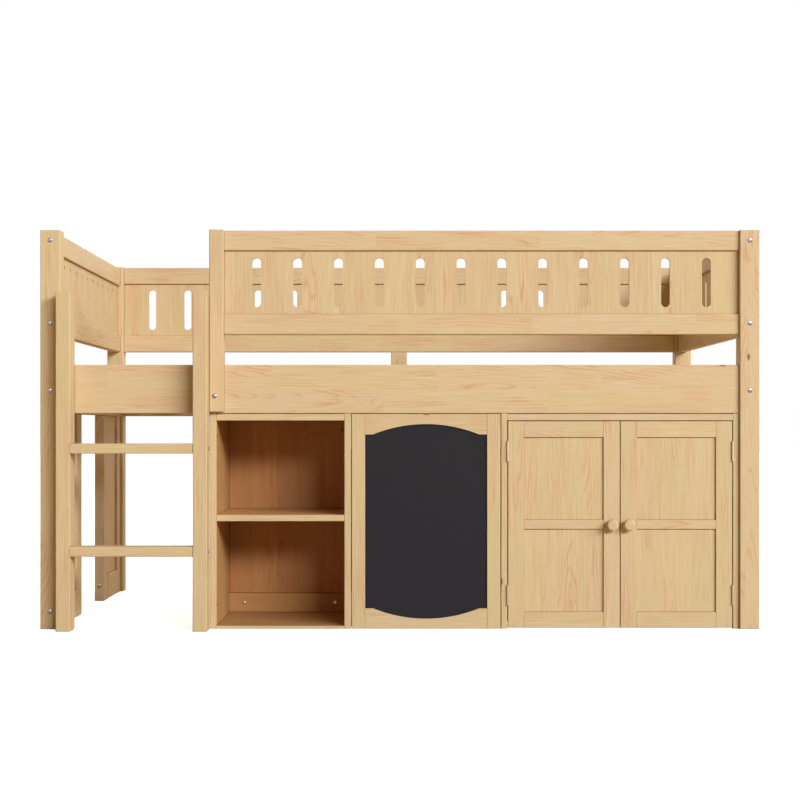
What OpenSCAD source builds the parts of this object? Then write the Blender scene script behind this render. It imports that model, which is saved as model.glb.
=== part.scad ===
// A low loft bed for one single mattress, with a ladder, a bookcase, a blackboard and a two-door
// cabinet under it. Millimetres, Z up, X along the bed, the ladder side faces -Y. The origin is on
// the floor under the middle of the whole bed, ladder and bolt heads included.

/* [Overall] */
// Length over the corner posts
bed_l = 2010; // [1950:5:2200]
// Width over the corner posts
bed_w = 1066; // [1000:2:1200]
// Height of the corner posts
bed_h = 1115; // [1080:5:1200]
// Side of the square corner posts
post_t = 55; // [50:1:65]
// Rounding of the long edges of posts and rails
edge_r = 3; // [1:0.5:4]
// Rounding of the long edges of thin boards
small_r = 1.5; // [0.5:0.25:2]

/* [Side and end rails] */
// Height of the rails' underside above the floor
rail_z = 603; // [580:1:640]
// Height of the side and end rails
rail_h = 136; // [124:2:150]
// Thickness of the side rails and of both guards
rail_t = 28; // [26:1:34]
// Recess of the long sides behind the faces of the posts
face_recess = 10; // [6:1:14]
// Thickness of the boards at the two ends
end_t = 30; // [28:1:34]
// Recess of the end boards behind the outer faces of the posts
end_recess = 15; // [12:1:16]

/* [Mattress base] */
// Number of slats
slat_count = 14; // [12:2:14]
// Width of a slat
slat_w = 70; // [60:1:74]
// Thickness of a slat
slat_t = 15; // [12:1:18]
// Gap between the end rails and the first and last slat
slat_end_gap = 47.5; // [40:0.5:60]
// Play at each end of a slat
slat_play = 1; // [0.5:0.5:3]
// Width of the cleats that carry the slats
cleat_w = 22; // [18:1:28]
// Height of the cleats
cleat_h = 28; // [20:1:30]
// Height of the cleats' underside above the rails' underside
cleat_up = 2; // [0:1:4]

/* [Guards and end boards] */
// Open gap between the rails and the guards
guard_gap = 85; // [70:1:100]
// Height of a guard's top rail
guard_top_h = 56; // [50:1:64]
// Height of the bottom rail of the guards and end boards
guard_low_h = 57; // [52:1:64]
// Height of an end board's top rail
end_top_h = 58; // [52:1:64]
// Drop of the end boards below the post tops
end_drop = 6; // [0:1:12]
// Thickness of the slotted panels
panel_t = 12; // [9:1:14]
// Depth of the grooves that hold a panel
groove_d = 8; // [5:1:10]
// Play of a panel in its groove
groove_play = 0.3; // [0.2:0.1:0.6]
// Width of a slot
slot_w = 25; // [18:1:30]
// Distance of the slots from the rails above and below
slot_margin = 20; // [14:1:30]
// Slots in the front guard
front_slots = 12; // [8:1:13]
// First and last slot of the front guard from its ends
front_slot_in = 90; // [60:2:120]
// Slots in the back guard
back_slots = 15; // [10:1:16]
// First and last slot of the back guard from its ends
back_slot_in = 97; // [60:1:130]
// Slots in each end board
end_slots = 10; // [6:1:11]
// First and last slot of an end board from its ends
end_slot_in = 98; // [60:1:130]
// Width of the guard post beside the ladder
guard_post_w = 40; // [34:1:50]
// How far the guard post stands in front of the corner posts
guard_post_out = 11; // [8:1:16]
// Height of the guard post's foot above the rail's underside
guard_post_up = 5; // [2:1:12]
// Width of the middle leg at the back
mid_leg_w = 55; // [45:1:60]
// Depth of the middle leg
mid_leg_d = 50; // [42:1:54]

/* [Ladder] */
// Width over the ladder rails
ladder_w = 418; // [380:2:440]
// Height of the ladder rails
ladder_h = 938; // [860:2:980]
// Thickness of the ladder rails
ladder_rail_t = 40; // [34:1:46]
// How far the ladder stands in front of the corner posts
ladder_out = 57; // [48:1:70]
// Number of rungs
rung_count = 2; // [2:1:2]
// Height of the lowest rung's top
rung_z = 234.5; // [200:0.5:260]
// Rise from one rung to the next
rung_step = 284.5; // [250:0.5:290]
// Thickness of a rung
rung_t = 28; // [22:1:34]
// Depth of a rung
rung_d = 56; // [46:1:60]

/* [Leg frames] */
// Width of a leg frame beside its post
leg_frame_w = 300; // [240:5:340]
// Width of the stile at the opening
open_stile_w = 70; // [60:1:80]
// Width of the stile against the post
post_stile_w = 55; // [50:1:65]
// Height of a leg frame's bottom rail
leg_rail_h = 80; // [70:1:100]
// Thickness of the leg frames' panels
leg_panel_t = 14; // [10:1:16]

/* [Units] */
// Depth of the bookcase and the cabinet
unit_d = 350; // [300:5:400]
// Gap between the units, and under the rail above them
unit_gap = 2; // [1:0.5:4]
// Gap between the cabinet and the corner post
wall_gap = 0.5; // [0.5:0.5:2]
// Width of the bookcase
bookcase_w = 395; // [360:1:430]
// Width of the cabinet
cabinet_w = 666; // [620:1:690]
// Thickness of the bookcase's sides
bookcase_side_t = 18.5; // [15:0.5:22]
// Thickness of the cabinet's sides
cabinet_side_t = 17; // [14:1:20]
// Thickness of the tops
unit_top_t = 18; // [15:1:22]
// Play between the units' sides and the rail above them
side_play = 0.3; // [0.2:0.1:0.6]
// Height of the top of the bookcase's shelf
shelf_z = 318.5; // [250:0.5:380]
// Thickness of the bookcase's shelf
shelf_t = 17.5; // [15:0.5:22]
// Thickness of the bookcase's floor
floor_t = 8; // [6:1:12]
// Thickness of the units' backs
back_t = 8; // [5:1:10]
// Height of the rail at the foot of the bookcase's back
back_rail_h = 57; // [45:1:70]
// Thickness of that rail
back_rail_t = 15; // [12:1:18]
// Height of the cabinet's floor above the ground
cabinet_floor_z = 20; // [12:1:30]
// Thickness of the cabinet's floor and shelf
cabinet_board_t = 16; // [14:1:18]
// Height of the top of the cabinet's shelf
cabinet_shelf_z = 306; // [240:1:380]
// Gap between the closed doors and the cabinet's floor and shelf
stop_gap = 1; // [0.5:0.5:2]

/* [Blackboard] */
// Thickness of the blackboard's frame
board_frame_t = 20; // [18:1:24]
// Width of its stiles
board_stile_w = 37.5; // [30:0.5:46]
// Height of its top and bottom rails at their shoulders
board_rail_h = 57; // [50:1:70]
// Rise of the arched edges
arch_rise = 29; // [20:1:34]
// Straight shoulder beside an arch
arch_shoulder = 22; // [14:1:40]
// Depth of the board's face behind the frame's face
board_recess = 5; // [3:1:7]
// Thickness of the board
board_t = 6; // [4:1:9]
// Lap of the board behind the frame
board_lap = 8; // [5:1:12]
// Width of the battens that hold the frame to its neighbours
batten_w = 30; // [22:1:36]
// Thickness of the battens
batten_t = 20; // [15:1:25]
// Distance of the battens from the floor and the top
batten_in = 100; // [60:5:150]

/* [Doors] */
// Thickness of the doors' frames
door_t = 18; // [16:1:20]
// Width of the stiles
door_stile_w = 45.5; // [38:0.5:54]
// Height of the top rail
door_top_h = 45; // [38:1:54]
// Height of the middle rail
door_mid_h = 26; // [22:1:40]
// Height of the middle rail's underside above the floor
door_mid_z = 279; // [240:1:320]
// Height of the bottom rail
door_low_h = 44; // [38:1:54]
// Thickness of the panels
door_panel_t = 6; // [5:1:7]
// Gap on the hinge side, which the hinge leaves fill
hinge_gap = 2.3; // [2.3:0.1:2.8]
// Gap between the doors, and above them
door_gap = 2; // [1.5:0.5:3]
// Gap under the doors
floor_gap = 3; // [2:0.5:5]
// Diameter of a knob's head
knob_d = 33; // [28:1:38]
// Thickness of a knob's head
knob_head = 18; // [14:1:20]
// Rounding of a knob's head
knob_r = 6.5; // [5:0.5:6.5]
// How far a knob stands out
knob_out = 27; // [25:1:32]
// Diameter of a knob's neck
knob_neck_d = 17; // [13:1:20]
// Height of the knobs above the floor
knob_z = 291; // [279:1:303]
// Distance of the knobs from the doors' meeting edges
knob_in = 22.7; // [19:0.1:26]

/* [Hinges] */
// Height of a hinge
hinge_h = 57; // [45:1:70]
// Height of the lower hinges' centres above the floor
hinge_low_z = 94.5; // [80:0.5:120]
// Height of the upper hinges' centres above the floor
hinge_high_z = 497; // [470:1:510]
// Thickness of a hinge leaf
leaf_t = 1; // [0.8:0.1:1]
// Depth of a hinge leaf behind the doors' faces
leaf_d = 17; // [12:1:17]
// Diameter of the knuckles
knuckle_d = 6; // [5:0.5:7]
// Diameter of the hinge pins
pin_d = 3; // [2.5:0.1:3.2]
// Radial running clearance of the pins
pin_play = 0.05; // [0.02:0.01:0.1]
// Number of knuckles, the odd ones on the cabinet
knuckle_count = 5; // [3:2:5]
// Play between neighbouring knuckles
knuckle_play = 0.3; // [0.2:0.05:0.5]

/* [Catch] */
// Width of the magnet catch
catch_w = 50; // [40:1:60]
// Height of the magnet catch
catch_h = 28; // [20:1:34]
// Thickness of the magnet catch
catch_t = 12; // [8:1:16]
// Thickness of the strike plates on the doors
strike_t = 1; // [0.8:0.1:1.5]
// Side of the strike plates
strike_w = 16; // [12:1:18]
// Air between a strike plate and the magnet
strike_air = 0.3; // [0.3:0.1:0.6]

/* [Bolts] */
// Diameter of the bolts' shanks
bolt_d = 6; // [5:0.5:7]
// Play around the shanks
bolt_play = 0.3; // [0.2:0.1:0.5]
// Diameter of the bolts' heads
bolt_head_d = 13; // [11:0.5:15]
// Height of the bolts' heads
bolt_head_h = 2; // [1.5:0.5:3]
// Width of the hexagon socket over its corners
socket_d = 5; // [3:0.5:6]
// Depth of the socket
socket_h = 1.2; // [0.8:0.1:1.4]
// Diameter of the barrel nuts
nut_d = 10; // [9:0.5:12]
// Length of the barrel nuts
nut_l = 14; // [12:1:18]
// Distance of a barrel nut from the end of its rail
nut_in = 35; // [25:1:45]
// Length of a shank past its barrel nut
bolt_past = 8; // [6:1:12]
// Drop of the topmost bolts below the post tops
top_bolt_drop = 28; // [24:1:32]
// Height of the end boards' lower bolts above the underside of their bottom rails
low_bolt_up = 31; // [28:1:34]
// Height of the end rails' bolts above the rails' underside
rail_bolt_up = 64; // [60:1:68]
// Height of the leg frames' bolts above the floor
foot_bolt_z = 49; // [40:1:60]
// Heights of the side rails' lower bolts above the rails' underside
side_bolt_low = 44; // [42:1:46]
// Heights of the side rails' upper bolts above the rails' underside
side_bolt_high = 102; // [96:1:106]
// Drop of the guards' bolts below the end boards' bolts
guard_bolt_drop = 13; // [11:1:13]
// Height of the ladder's lower bolts above the rails' underside
ladder_bolt_low = 73; // [70:1:76]
// Height of the ladder's upper bolts above the rails' underside
ladder_bolt_high = 120; // [118:1:122]
// Depth of the bores past the ends of the bolts
bore_past = 2; // [1:0.5:4]
// Play around the shanks in the barrel nuts
nut_play = 0.1; // [0.05:0.05:0.2]
// Reach of the ladder's bolts into the ladder rails and rungs
ladder_bolt_in = 32; // [25:1:36]
// Distance of the guard post's bolt from its left edge
guard_bolt_in = 15; // [12:1:20]
// Height of the guard post's bolt above the rails' underside
guard_bolt_up = 48; // [40:1:56]

/* [Hidden] */
$fn = 32;
WOOD = "#DAB888";
SHADE_WOOD = "#CFA877";
SLATE = "#322E31";
STEEL = "#B9B9BB";

// Faces of the posts and of the boards between them
y_front = -(bed_w + bolt_head_h - ladder_out) / 2;
y_back = y_front + bed_w;
x_out = bed_l / 2;
x_in = x_out - post_t;
post_x = x_out - post_t / 2;
end_out = x_out - end_recess;
end_in = end_out - end_t;
face_y = y_front + face_recess;
back_face_y = y_back - face_recess;
FRONT_Y = [face_y, face_y + rail_t];
BACK_Y = [back_face_y - rail_t, back_face_y];
BETWEEN_Y = [y_front + post_t, y_back - post_t];
front_mid_y = face_y + rail_t / 2;
back_mid_y = back_face_y - rail_t / 2;

// Levels
rail_top = rail_z + rail_h;
guard_z = rail_top + guard_gap;
guard_low_top = guard_z + guard_low_h;
end_top = bed_h - end_drop;
cleat_z = rail_z + cleat_up;
slat_z = cleat_z + cleat_h;

// Ladder, guard post and units along X
ladder_x = -x_in;
guard_x = ladder_x + ladder_w;
guard_rail_x = guard_x + guard_post_w;
bookcase_x = guard_x;
bookcase_end = bookcase_x + bookcase_w;
board_x = bookcase_end + unit_gap;
cabinet_end = x_in - wall_gap;
cabinet_x = cabinet_end - cabinet_w;
board_end = cabinet_x - unit_gap;
unit_z = rail_z - unit_gap;
unit_under = unit_z - unit_top_t;
side_top = rail_z - side_play;
unit_back_y = face_y + unit_d;

// Doors
opening_x = cabinet_x + cabinet_side_t;
opening_end = cabinet_end - cabinet_side_t;
door_w = (opening_end - opening_x - 2 * hinge_gap - door_gap) / 2;
DOOR_Z = [floor_gap, unit_under - door_gap];
left_door_x = opening_x + hinge_gap;
right_door_x = opening_end - hinge_gap - door_w;
hinge_y = face_y - knuckle_d / 2;
left_hinge_x = opening_x + hinge_gap / 2;
right_hinge_x = opening_end - hinge_gap / 2;
door_back_y = face_y + door_t;
inside_y = door_back_y + stop_gap;
HINGE_ZS = [hinge_low_z, hinge_high_z];
leaf_air = knuckle_play;

// Blackboard, drawn about the middle of its frame
board_mid_x = (board_x + board_end) / 2;
board_open_w = board_end - board_x - 2 * board_stile_w;
half_chord = board_open_w / 2 - arch_shoulder;
arch_r = (half_chord * half_chord + arch_rise * arch_rise) / (2 * arch_rise);
board_low_z = board_rail_h;
board_high_z = unit_z - board_rail_h;
board_back_y = face_y + board_frame_t;

// Bolts with a barrel nut: the head's seat, the way the shank points, the distance to the nut and
// the way the nut's bore opens
END_BOLT_ZS = [bed_h - top_bolt_drop, guard_z + low_bolt_up, rail_z + rail_bolt_up];
SIDE_BOLT_ZS = [rail_z + side_bolt_low, rail_z + side_bolt_high];
GUARD_BOLT_ZS = [for (i = [0, 1]) END_BOLT_ZS[i] - guard_bolt_drop];
leg_rail_x = -(end_in + end_out) / 2;
NUT_BOLTS = concat(
    [for (s = [-1, 1], f = [-1, 1], z = concat(END_BOLT_ZS, s < 0 ? [foot_bolt_z] : []))
        [[s * post_x, f < 0 ? y_front : y_back, z], [0, -f, 0], post_t + nut_in, [s, 0, 0]]],
    [for (s = [-1, 1], f = [-1, 1], z = SIDE_BOLT_ZS)
        [[s * x_out, f < 0 ? front_mid_y : back_mid_y, z], [-s, 0, 0], post_t + nut_in, [0, 1, 0]]],
    [for (s = [-1, 1], z = GUARD_BOLT_ZS)
        [[s * x_out, back_mid_y, z], [-s, 0, 0], post_t + nut_in, [0, 1, 0]]],
    [for (z = GUARD_BOLT_ZS)
        [[x_out, front_mid_y, z], [-1, 0, 0], post_t + nut_in, [0, 1, 0]]],
    [for (z = GUARD_BOLT_ZS)
        [[guard_x, front_mid_y, z], [1, 0, 0], guard_post_w + nut_in, [0, 1, 0]]],
    [for (f = [-1, 1])
        [[leg_rail_x, leg_open_y(f), foot_bolt_z], [0, f, 0], open_stile_w + nut_in, [-1, 0, 0]]]
);
// Bolts without a nut: the head's seat, the way the shank points and the shank's length
RUNG_ZS = [for (i = [0 : rung_count - 1]) rung_z + i * rung_step - rung_t / 2];
rung_mid_y = y_front - ladder_out + rung_d / 2;
PLAIN_BOLTS = concat(
    [for (x = [ladder_x, guard_x - ladder_rail_t], z = [ladder_bolt_low, ladder_bolt_high])
        [[x + ladder_rail_t / 2, FRONT_Y[1], rail_z + z], [0, -1, 0], rail_t + ladder_bolt_in]],
    [for (z = RUNG_ZS) [[ladder_x, rung_mid_y, z], [1, 0, 0], ladder_rail_t + ladder_bolt_in]],
    [for (z = RUNG_ZS) [[guard_x, rung_mid_y, z], [-1, 0, 0], ladder_rail_t + ladder_bolt_in]],
    [[[guard_x + guard_bolt_in, y_front - guard_post_out, rail_z + guard_bolt_up], [0, 1, 0],
        guard_post_out + face_recess + rail_t - bolt_past]]
);

// Y of a leg frame's open edge, at the front (-1) or the back (1)
function leg_open_y(f) = f < 0 ? BETWEEN_Y[0] + leg_frame_w : BETWEEN_Y[1] - leg_frame_w;

// Turn that points +Z along a unit vector in the horizontal plane
function turn_to(v) = v.x != 0 ? [0, 90 * v.x, 0] : [-90 * v.y, 0, 0];

// A rectangle with rounded corners, its low corner at the origin
module rounded(w, h, r) {
    translate([r, 0]) square([w - 2 * r, h]);
    translate([0, r]) square([w, h - 2 * r]);
    for (u = [r, w - r], v = [r, h - r]) translate([u, v]) circle(r);
}

// A board that fills three ranges, its edges along the grain rounded
module board(x, y, z, grain, r = edge_r) {
    size = [x[1] - x[0], y[1] - y[0], z[1] - z[0]];
    translate([x[0], y[0], z[0]]) {
        if (grain == "x") rotate([90, 0, 90]) linear_extrude(size.x) rounded(size.y, size.z, r);
        if (grain == "y") rotate([90, 0, 180]) mirror([1, 0, 0]) linear_extrude(size.y)
            rounded(size.x, size.z, r);
        if (grain == "z") linear_extrude(size.z) rounded(size.x, size.y, r);
    }
}

// A square-edged box that fills three ranges
module block(x, y, z) {
    translate([x[0], y[0], z[0]]) cube([x[1] - x[0], y[1] - y[0], z[1] - z[0]]);
}

// The bores for every bolt and barrel nut
module bolt_bores() {
    for (b = NUT_BOLTS) {
        translate(b[0]) rotate(turn_to(b[1]))
            cylinder(h = b[2] + bolt_past + bore_past, d = bolt_d + 2 * bolt_play);
        translate(b[0] + b[2] * b[1]) rotate(turn_to(b[3])) translate([0, 0, -nut_l / 2])
            cylinder(h = nut_l / 2 + rail_t, d = nut_d + 2 * bolt_play);
    }
    for (b = PLAIN_BOLTS)
        translate(b[0]) rotate(turn_to(b[1])) cylinder(h = b[2] + bore_past, d = bolt_d + 2 * bolt_play);
}

module bored() {
    difference() {
        children();
        bolt_bores();
    }
}

// A round-ended slot, upright in the drawing plane
module slot(x, z) {
    translate([x - slot_w / 2, z[0] + slot_w / 2]) square([slot_w, z[1] - z[0] - slot_w]);
    for (v = [z[0] + slot_w / 2, z[1] - slot_w / 2]) translate([x, v]) circle(d = slot_w);
}

// A slotted panel drawn from its left end, with a tongue in the rails above and below it
module slotted_panel(length, low, high, count, first) {
    step = (length - 2 * first) / (count - 1);
    rotate([90, 0, 0]) linear_extrude(panel_t, center = true) difference() {
        translate([0, low - groove_d]) square([length, high - low + 2 * groove_d - groove_play]);
        for (i = [0 : count - 1]) slot(first + i * step, [low + slot_margin, high - slot_margin]);
    }
}

// Grooves for a panel of thickness t, along X at the height z or along Y
module groove_x(x, y_mid, z, t) {
    block(x, [y_mid - t / 2 - groove_play, y_mid + t / 2 + groove_play], z);
}
module groove_y(x_mid, y, z, t) {
    block([x_mid - t / 2 - groove_play, x_mid + t / 2 + groove_play], y, z);
}

// Corner posts
module post(s, f) {
    x = s < 0 ? [-x_out, -x_in] : [x_in, x_out];
    y = f < 0 ? [y_front, y_front + post_t] : [y_back - post_t, y_back];
    color(WOOD) bored() board(x, y, [0, bed_h], "z");
}
// The leg rises behind the back rail to the slats, and a block carries the back guard above it
module middle_supports() {
    x = [-mid_leg_w / 2, mid_leg_w / 2];
    color(WOOD) {
        difference() {
            board(x, [back_face_y - mid_leg_d, back_face_y], [0, slat_z], "z");
            block([x[0] - 1, x[1] + 1], [BACK_Y[0], BACK_Y[1] + 1], [rail_z, slat_z + 1]);
        }
        board(x, BACK_Y, [rail_top, guard_z], "z");
    }
}

// Rails
module side_rail(y) {
    color(WOOD) bored() board([-x_in, x_in], y, [rail_z, rail_top], "x");
}
module end_rail(s) {
    x = s < 0 ? [-end_out, -end_in] : [end_in, end_out];
    color(WOOD) bored() board(x, BETWEEN_Y, [rail_z, rail_top], "y");
}

// Mattress base
module slat_cleats() {
    z = [cleat_z, slat_z];
    color(SHADE_WOOD) {
        board([-x_in, x_in], [FRONT_Y[1], FRONT_Y[1] + cleat_w], z, "x", small_r);
        for (x = [[-x_in, -mid_leg_w / 2], [mid_leg_w / 2, x_in]])
            board(x, [BACK_Y[0] - cleat_w, BACK_Y[0]], z, "x", small_r);
    }
}
module slats() {
    y = [FRONT_Y[1] + slat_play, BACK_Y[0] - slat_play];
    pitch = (2 * (end_in - slat_end_gap) - slat_w) / (slat_count - 1);
    color(SHADE_WOOD) for (i = [0 : slat_count - 1]) {
        x = (i - (slat_count - 1) / 2) * pitch;
        board([x - slat_w / 2, x + slat_w / 2], y, [slat_z, slat_z + slat_t], "y", small_r);
    }
}

// Guards along the bed
module guard_post() {
    x = [guard_x, guard_rail_x];
    color(WOOD) bored() difference() {
        board(x, [y_front - guard_post_out, FRONT_Y[1]], [rail_z + guard_post_up, bed_h], "z");
        block([x[0] - 1, x[1] + 1], [face_y, FRONT_Y[1] + 1], [rail_z, rail_top]);
    }
}
module guard_top_rail(x, y) {
    color(WOOD) bored() difference() {
        board([x, x_in], y, [bed_h - guard_top_h, bed_h], "x");
        groove_x([x - 1, x_in + 1], (y[0] + y[1]) / 2,
            [bed_h - guard_top_h - 1, bed_h - guard_top_h + groove_d], panel_t);
    }
}
module guard_bottom_rail(x, y) {
    color(WOOD) bored() difference() {
        board([x, x_in], y, [guard_z, guard_low_top], "x");
        groove_x([x - 1, x_in + 1], (y[0] + y[1]) / 2,
            [guard_low_top - groove_d, guard_low_top + 1], panel_t);
    }
}
module guard_panel(x, y_mid, count, first) {
    color(WOOD) translate([x, y_mid, 0])
        slotted_panel(x_in - x, guard_low_top, bed_h - guard_top_h, count, first);
}

// Boards across the two ends, at the left (-1) or the right (1)
module end_top_rail(s) {
    z = [end_top - end_top_h, end_top];
    x = s < 0 ? [-end_out, -end_in] : [end_in, end_out];
    color(WOOD) bored() difference() {
        board(x, BETWEEN_Y, z, "y");
        groove_y((x[0] + x[1]) / 2, [BETWEEN_Y[0] - 1, BETWEEN_Y[1] + 1],
            [z[0] - 1, z[0] + groove_d], panel_t);
    }
}
module end_bottom_rail(s) {
    z = [guard_z, guard_low_top];
    x = s < 0 ? [-end_out, -end_in] : [end_in, end_out];
    color(WOOD) bored() difference() {
        board(x, BETWEEN_Y, z, "y");
        groove_y((x[0] + x[1]) / 2, [BETWEEN_Y[0] - 1, BETWEEN_Y[1] + 1],
            [z[1] - groove_d, z[1] + 1], panel_t);
    }
}
module end_panel(s) {
    color(WOOD) translate([s * (end_in + end_out) / 2, BETWEEN_Y[0], 0]) rotate([0, 0, 90])
        slotted_panel(BETWEEN_Y[1] - BETWEEN_Y[0], guard_low_top, end_top - end_top_h,
            end_slots, end_slot_in);
}

// Ladder
module ladder_rail(x) {
    color(WOOD) bored() board([x, x + ladder_rail_t], [y_front - ladder_out, face_y], [0, ladder_h], "z");
}
module ladder_rungs() {
    x = [ladder_x + ladder_rail_t, guard_x - ladder_rail_t];
    y = [rung_mid_y - rung_d / 2, rung_mid_y + rung_d / 2];
    color(WOOD) bored() for (z = RUNG_ZS) board(x, y, [z - rung_t / 2, z + rung_t / 2], "x");
}

// Leg frames under the left end rail, one at the front (-1) and one at the back (1)
function leg_range(f, a, b) =
    f < 0 ? [BETWEEN_Y[0] + a, BETWEEN_Y[0] + b] : [BETWEEN_Y[1] - b, BETWEEN_Y[1] - a];
module leg_frame_stiles() {
    x = [-end_out, -end_in];
    color(WOOD) bored() for (f = [-1, 1]) difference() {
        for (r = [[0, post_stile_w], [leg_frame_w - open_stile_w, leg_frame_w]])
            board(x, leg_range(f, r[0], r[1]), [0, rail_z], "z");
        groove_y(leg_rail_x, leg_range(f, post_stile_w - groove_d, leg_frame_w - open_stile_w + groove_d),
            [leg_rail_h - groove_d, rail_z + 1], leg_panel_t);
    }
}
module leg_frame_rails() {
    color(WOOD) bored() for (f = [-1, 1]) difference() {
        board([-end_out, -end_in], leg_range(f, post_stile_w, leg_frame_w - open_stile_w),
            [0, leg_rail_h], "y");
        groove_y(leg_rail_x, leg_range(f, 0, leg_frame_w), [leg_rail_h - groove_d, leg_rail_h + 1],
            leg_panel_t);
    }
}
module leg_frame_panels() {
    x = [leg_rail_x - leg_panel_t / 2, leg_rail_x + leg_panel_t / 2];
    tongue = groove_d - groove_play;
    color(WOOD) for (f = [-1, 1])
        block(x, leg_range(f, post_stile_w - tongue, leg_frame_w - open_stile_w + tongue),
            [leg_rail_h - groove_d, rail_z]);
}

// Bookcase
BOOK_IN = [bookcase_x + bookcase_side_t, bookcase_end - bookcase_side_t];
book_back_y = unit_back_y - back_t;
module bookcase_sides() {
    color(WOOD) for (x = [bookcase_x, BOOK_IN[1]])
        board([x, x + bookcase_side_t], [face_y, unit_back_y], [0, side_top], "z", small_r);
}
module bookcase_top() {
    color(WOOD) board(BOOK_IN, [face_y, unit_back_y], [unit_under, unit_z], "x", small_r);
}
module bookcase_shelf() {
    color(WOOD) board(BOOK_IN, [face_y, book_back_y], [shelf_z - shelf_t, shelf_z], "x", small_r);
}
module bookcase_floor() {
    color(WOOD) board(BOOK_IN, [face_y, unit_back_y], [0, floor_t], "x", small_r);
}
module bookcase_back() {
    color(SHADE_WOOD) block(BOOK_IN, [book_back_y, unit_back_y], [floor_t, unit_under]);
}
module bookcase_back_rail() {
    color(SHADE_WOOD) board(BOOK_IN, [book_back_y - back_rail_t, book_back_y],
        [floor_t, floor_t + back_rail_h], "x", small_r);
}

// Blackboard: the opening in its frame, grown all round by a margin
module board_shape(grow) {
    w = board_open_w + 2 * grow;
    chord = 2 * (half_chord + grow);
    middle = (board_low_z + board_high_z) / 2;
    translate([-w / 2, board_low_z - grow]) square([w, board_high_z - board_low_z + 2 * grow]);
    for (s = [0, 1]) translate([0, middle]) mirror([0, s]) translate([0, board_high_z - middle])
        intersection() {
            translate([0, arch_rise - arch_r]) circle(arch_r + grow, $fn = 128);
            translate([-chord / 2, 0]) square([chord, arch_rise + grow]);
        }
}
module board_cut(grow, y) {
    translate([board_mid_x, y[1], 0]) rotate([90, 0, 0]) linear_extrude(y[1] - y[0]) board_shape(grow);
}
module blackboard_stiles() {
    color(WOOD) difference() {
        for (x = [board_x, board_end - board_stile_w])
            board([x, x + board_stile_w], [face_y, board_back_y], [0, unit_z], "z", small_r);
        board_cut(board_lap + groove_play, [face_y + board_recess, board_back_y + 1]);
    }
}
module blackboard_rails() {
    x = [board_x + board_stile_w, board_end - board_stile_w];
    color(WOOD) difference() {
        for (z = [[0, board_rail_h], [board_high_z, unit_z]]) block(x, [face_y, board_back_y], z);
        board_cut(0, [face_y - 1, board_back_y + 1]);
        board_cut(board_lap + groove_play, [face_y + board_recess, board_back_y + 1]);
    }
}
module blackboard() {
    color(SLATE) board_cut(board_lap, [face_y + board_recess, face_y + board_recess + board_t]);
}
module blackboard_battens() {
    color(SHADE_WOOD) for (x = [bookcase_end, cabinet_x - batten_w])
        board([x, x + batten_w], [board_back_y, board_back_y + batten_t],
            [batten_in, unit_z - batten_in], "z", small_r);
}

// Cabinet
CABINET_IN = [opening_x, opening_end];
module cabinet_sides() {
    color(WOOD) for (x = [cabinet_x, opening_end])
        board([x, x + cabinet_side_t], [face_y, unit_back_y], [0, side_top], "z", small_r);
}
module cabinet_top() {
    color(WOOD) board(CABINET_IN, [face_y, unit_back_y], [unit_under, unit_z], "x", small_r);
}
module cabinet_board(z) {
    board(CABINET_IN, [inside_y, unit_back_y - back_t], [z, z + cabinet_board_t], "x", small_r);
}
module cabinet_floor() {
    color(SHADE_WOOD) cabinet_board(cabinet_floor_z);
}
module cabinet_shelf() {
    color(SHADE_WOOD) cabinet_board(cabinet_shelf_z - cabinet_board_t);
}
module cabinet_back() {
    color(SHADE_WOOD) block(CABINET_IN, [unit_back_y - back_t, unit_back_y], [cabinet_floor_z, unit_under]);
}
module magnet_catch() {
    x = (opening_x + opening_end) / 2;
    y = door_back_y + strike_t + strike_air;
    color("white")
        block([x - catch_w / 2, x + catch_w / 2], [y, y + catch_t], [unit_under - catch_h, unit_under]);
}

// Doors, each drawn from its left edge
module door_stiles(x) {
    color(WOOD) difference() {
        for (u = [x, x + door_w - door_stile_w])
            board([u, u + door_stile_w], [face_y, door_back_y], DOOR_Z, "z", small_r);
        groove_x([x + door_stile_w - groove_d, x + door_w - door_stile_w + groove_d], face_y + door_t / 2,
            [DOOR_Z[0] - 1, DOOR_Z[1] + 1], door_panel_t);
    }
}
module door_rails(x) {
    low = DOOR_Z[0] + door_low_h;
    high = DOOR_Z[1] - door_top_h;
    mid = [door_mid_z, door_mid_z + door_mid_h];
    u = [x + door_stile_w, x + door_w - door_stile_w];
    color(WOOD) difference() {
        for (z = [[DOOR_Z[0], low], mid, [high, DOOR_Z[1]]]) board(u, [face_y, door_back_y], z, "x", small_r);
        for (z = [[low - groove_d, low + 1], [mid[0] - 1, mid[0] + groove_d],
                  [mid[1] - groove_d, mid[1] + 1], [high - 1, high + groove_d]])
            groove_x([u[0] - 1, u[1] + 1], face_y + door_t / 2, z, door_panel_t);
    }
}
module door_panels(x) {
    tongue = groove_d - groove_play;
    u = [x + door_stile_w - tongue, x + door_w - door_stile_w + tongue];
    y = face_y + door_t / 2;
    low = [DOOR_Z[0] + door_low_h, door_mid_z];
    high = [door_mid_z + door_mid_h, DOOR_Z[1] - door_top_h];
    color(WOOD) for (z = [low, high])
        block(u, [y - door_panel_t / 2, y + door_panel_t / 2], [z[0] - groove_d, z[1] + tongue]);
}
module knob(x) {
    head = [knob_out - knob_head, knob_out];
    color(WOOD) translate([x, face_y, knob_z]) rotate([90, 0, 0]) rotate_extrude($fn = 64) {
        square([knob_neck_d / 2, head[1] - knob_r]);
        translate([0, head[0]]) square([knob_d / 2 - knob_r, knob_head]);
        translate([0, head[0] + knob_r]) square([knob_d / 2, knob_head - 2 * knob_r]);
        for (v = [head[0] + knob_r, head[1] - knob_r]) translate([knob_d / 2 - knob_r, v]) circle(knob_r);
    }
}

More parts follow.
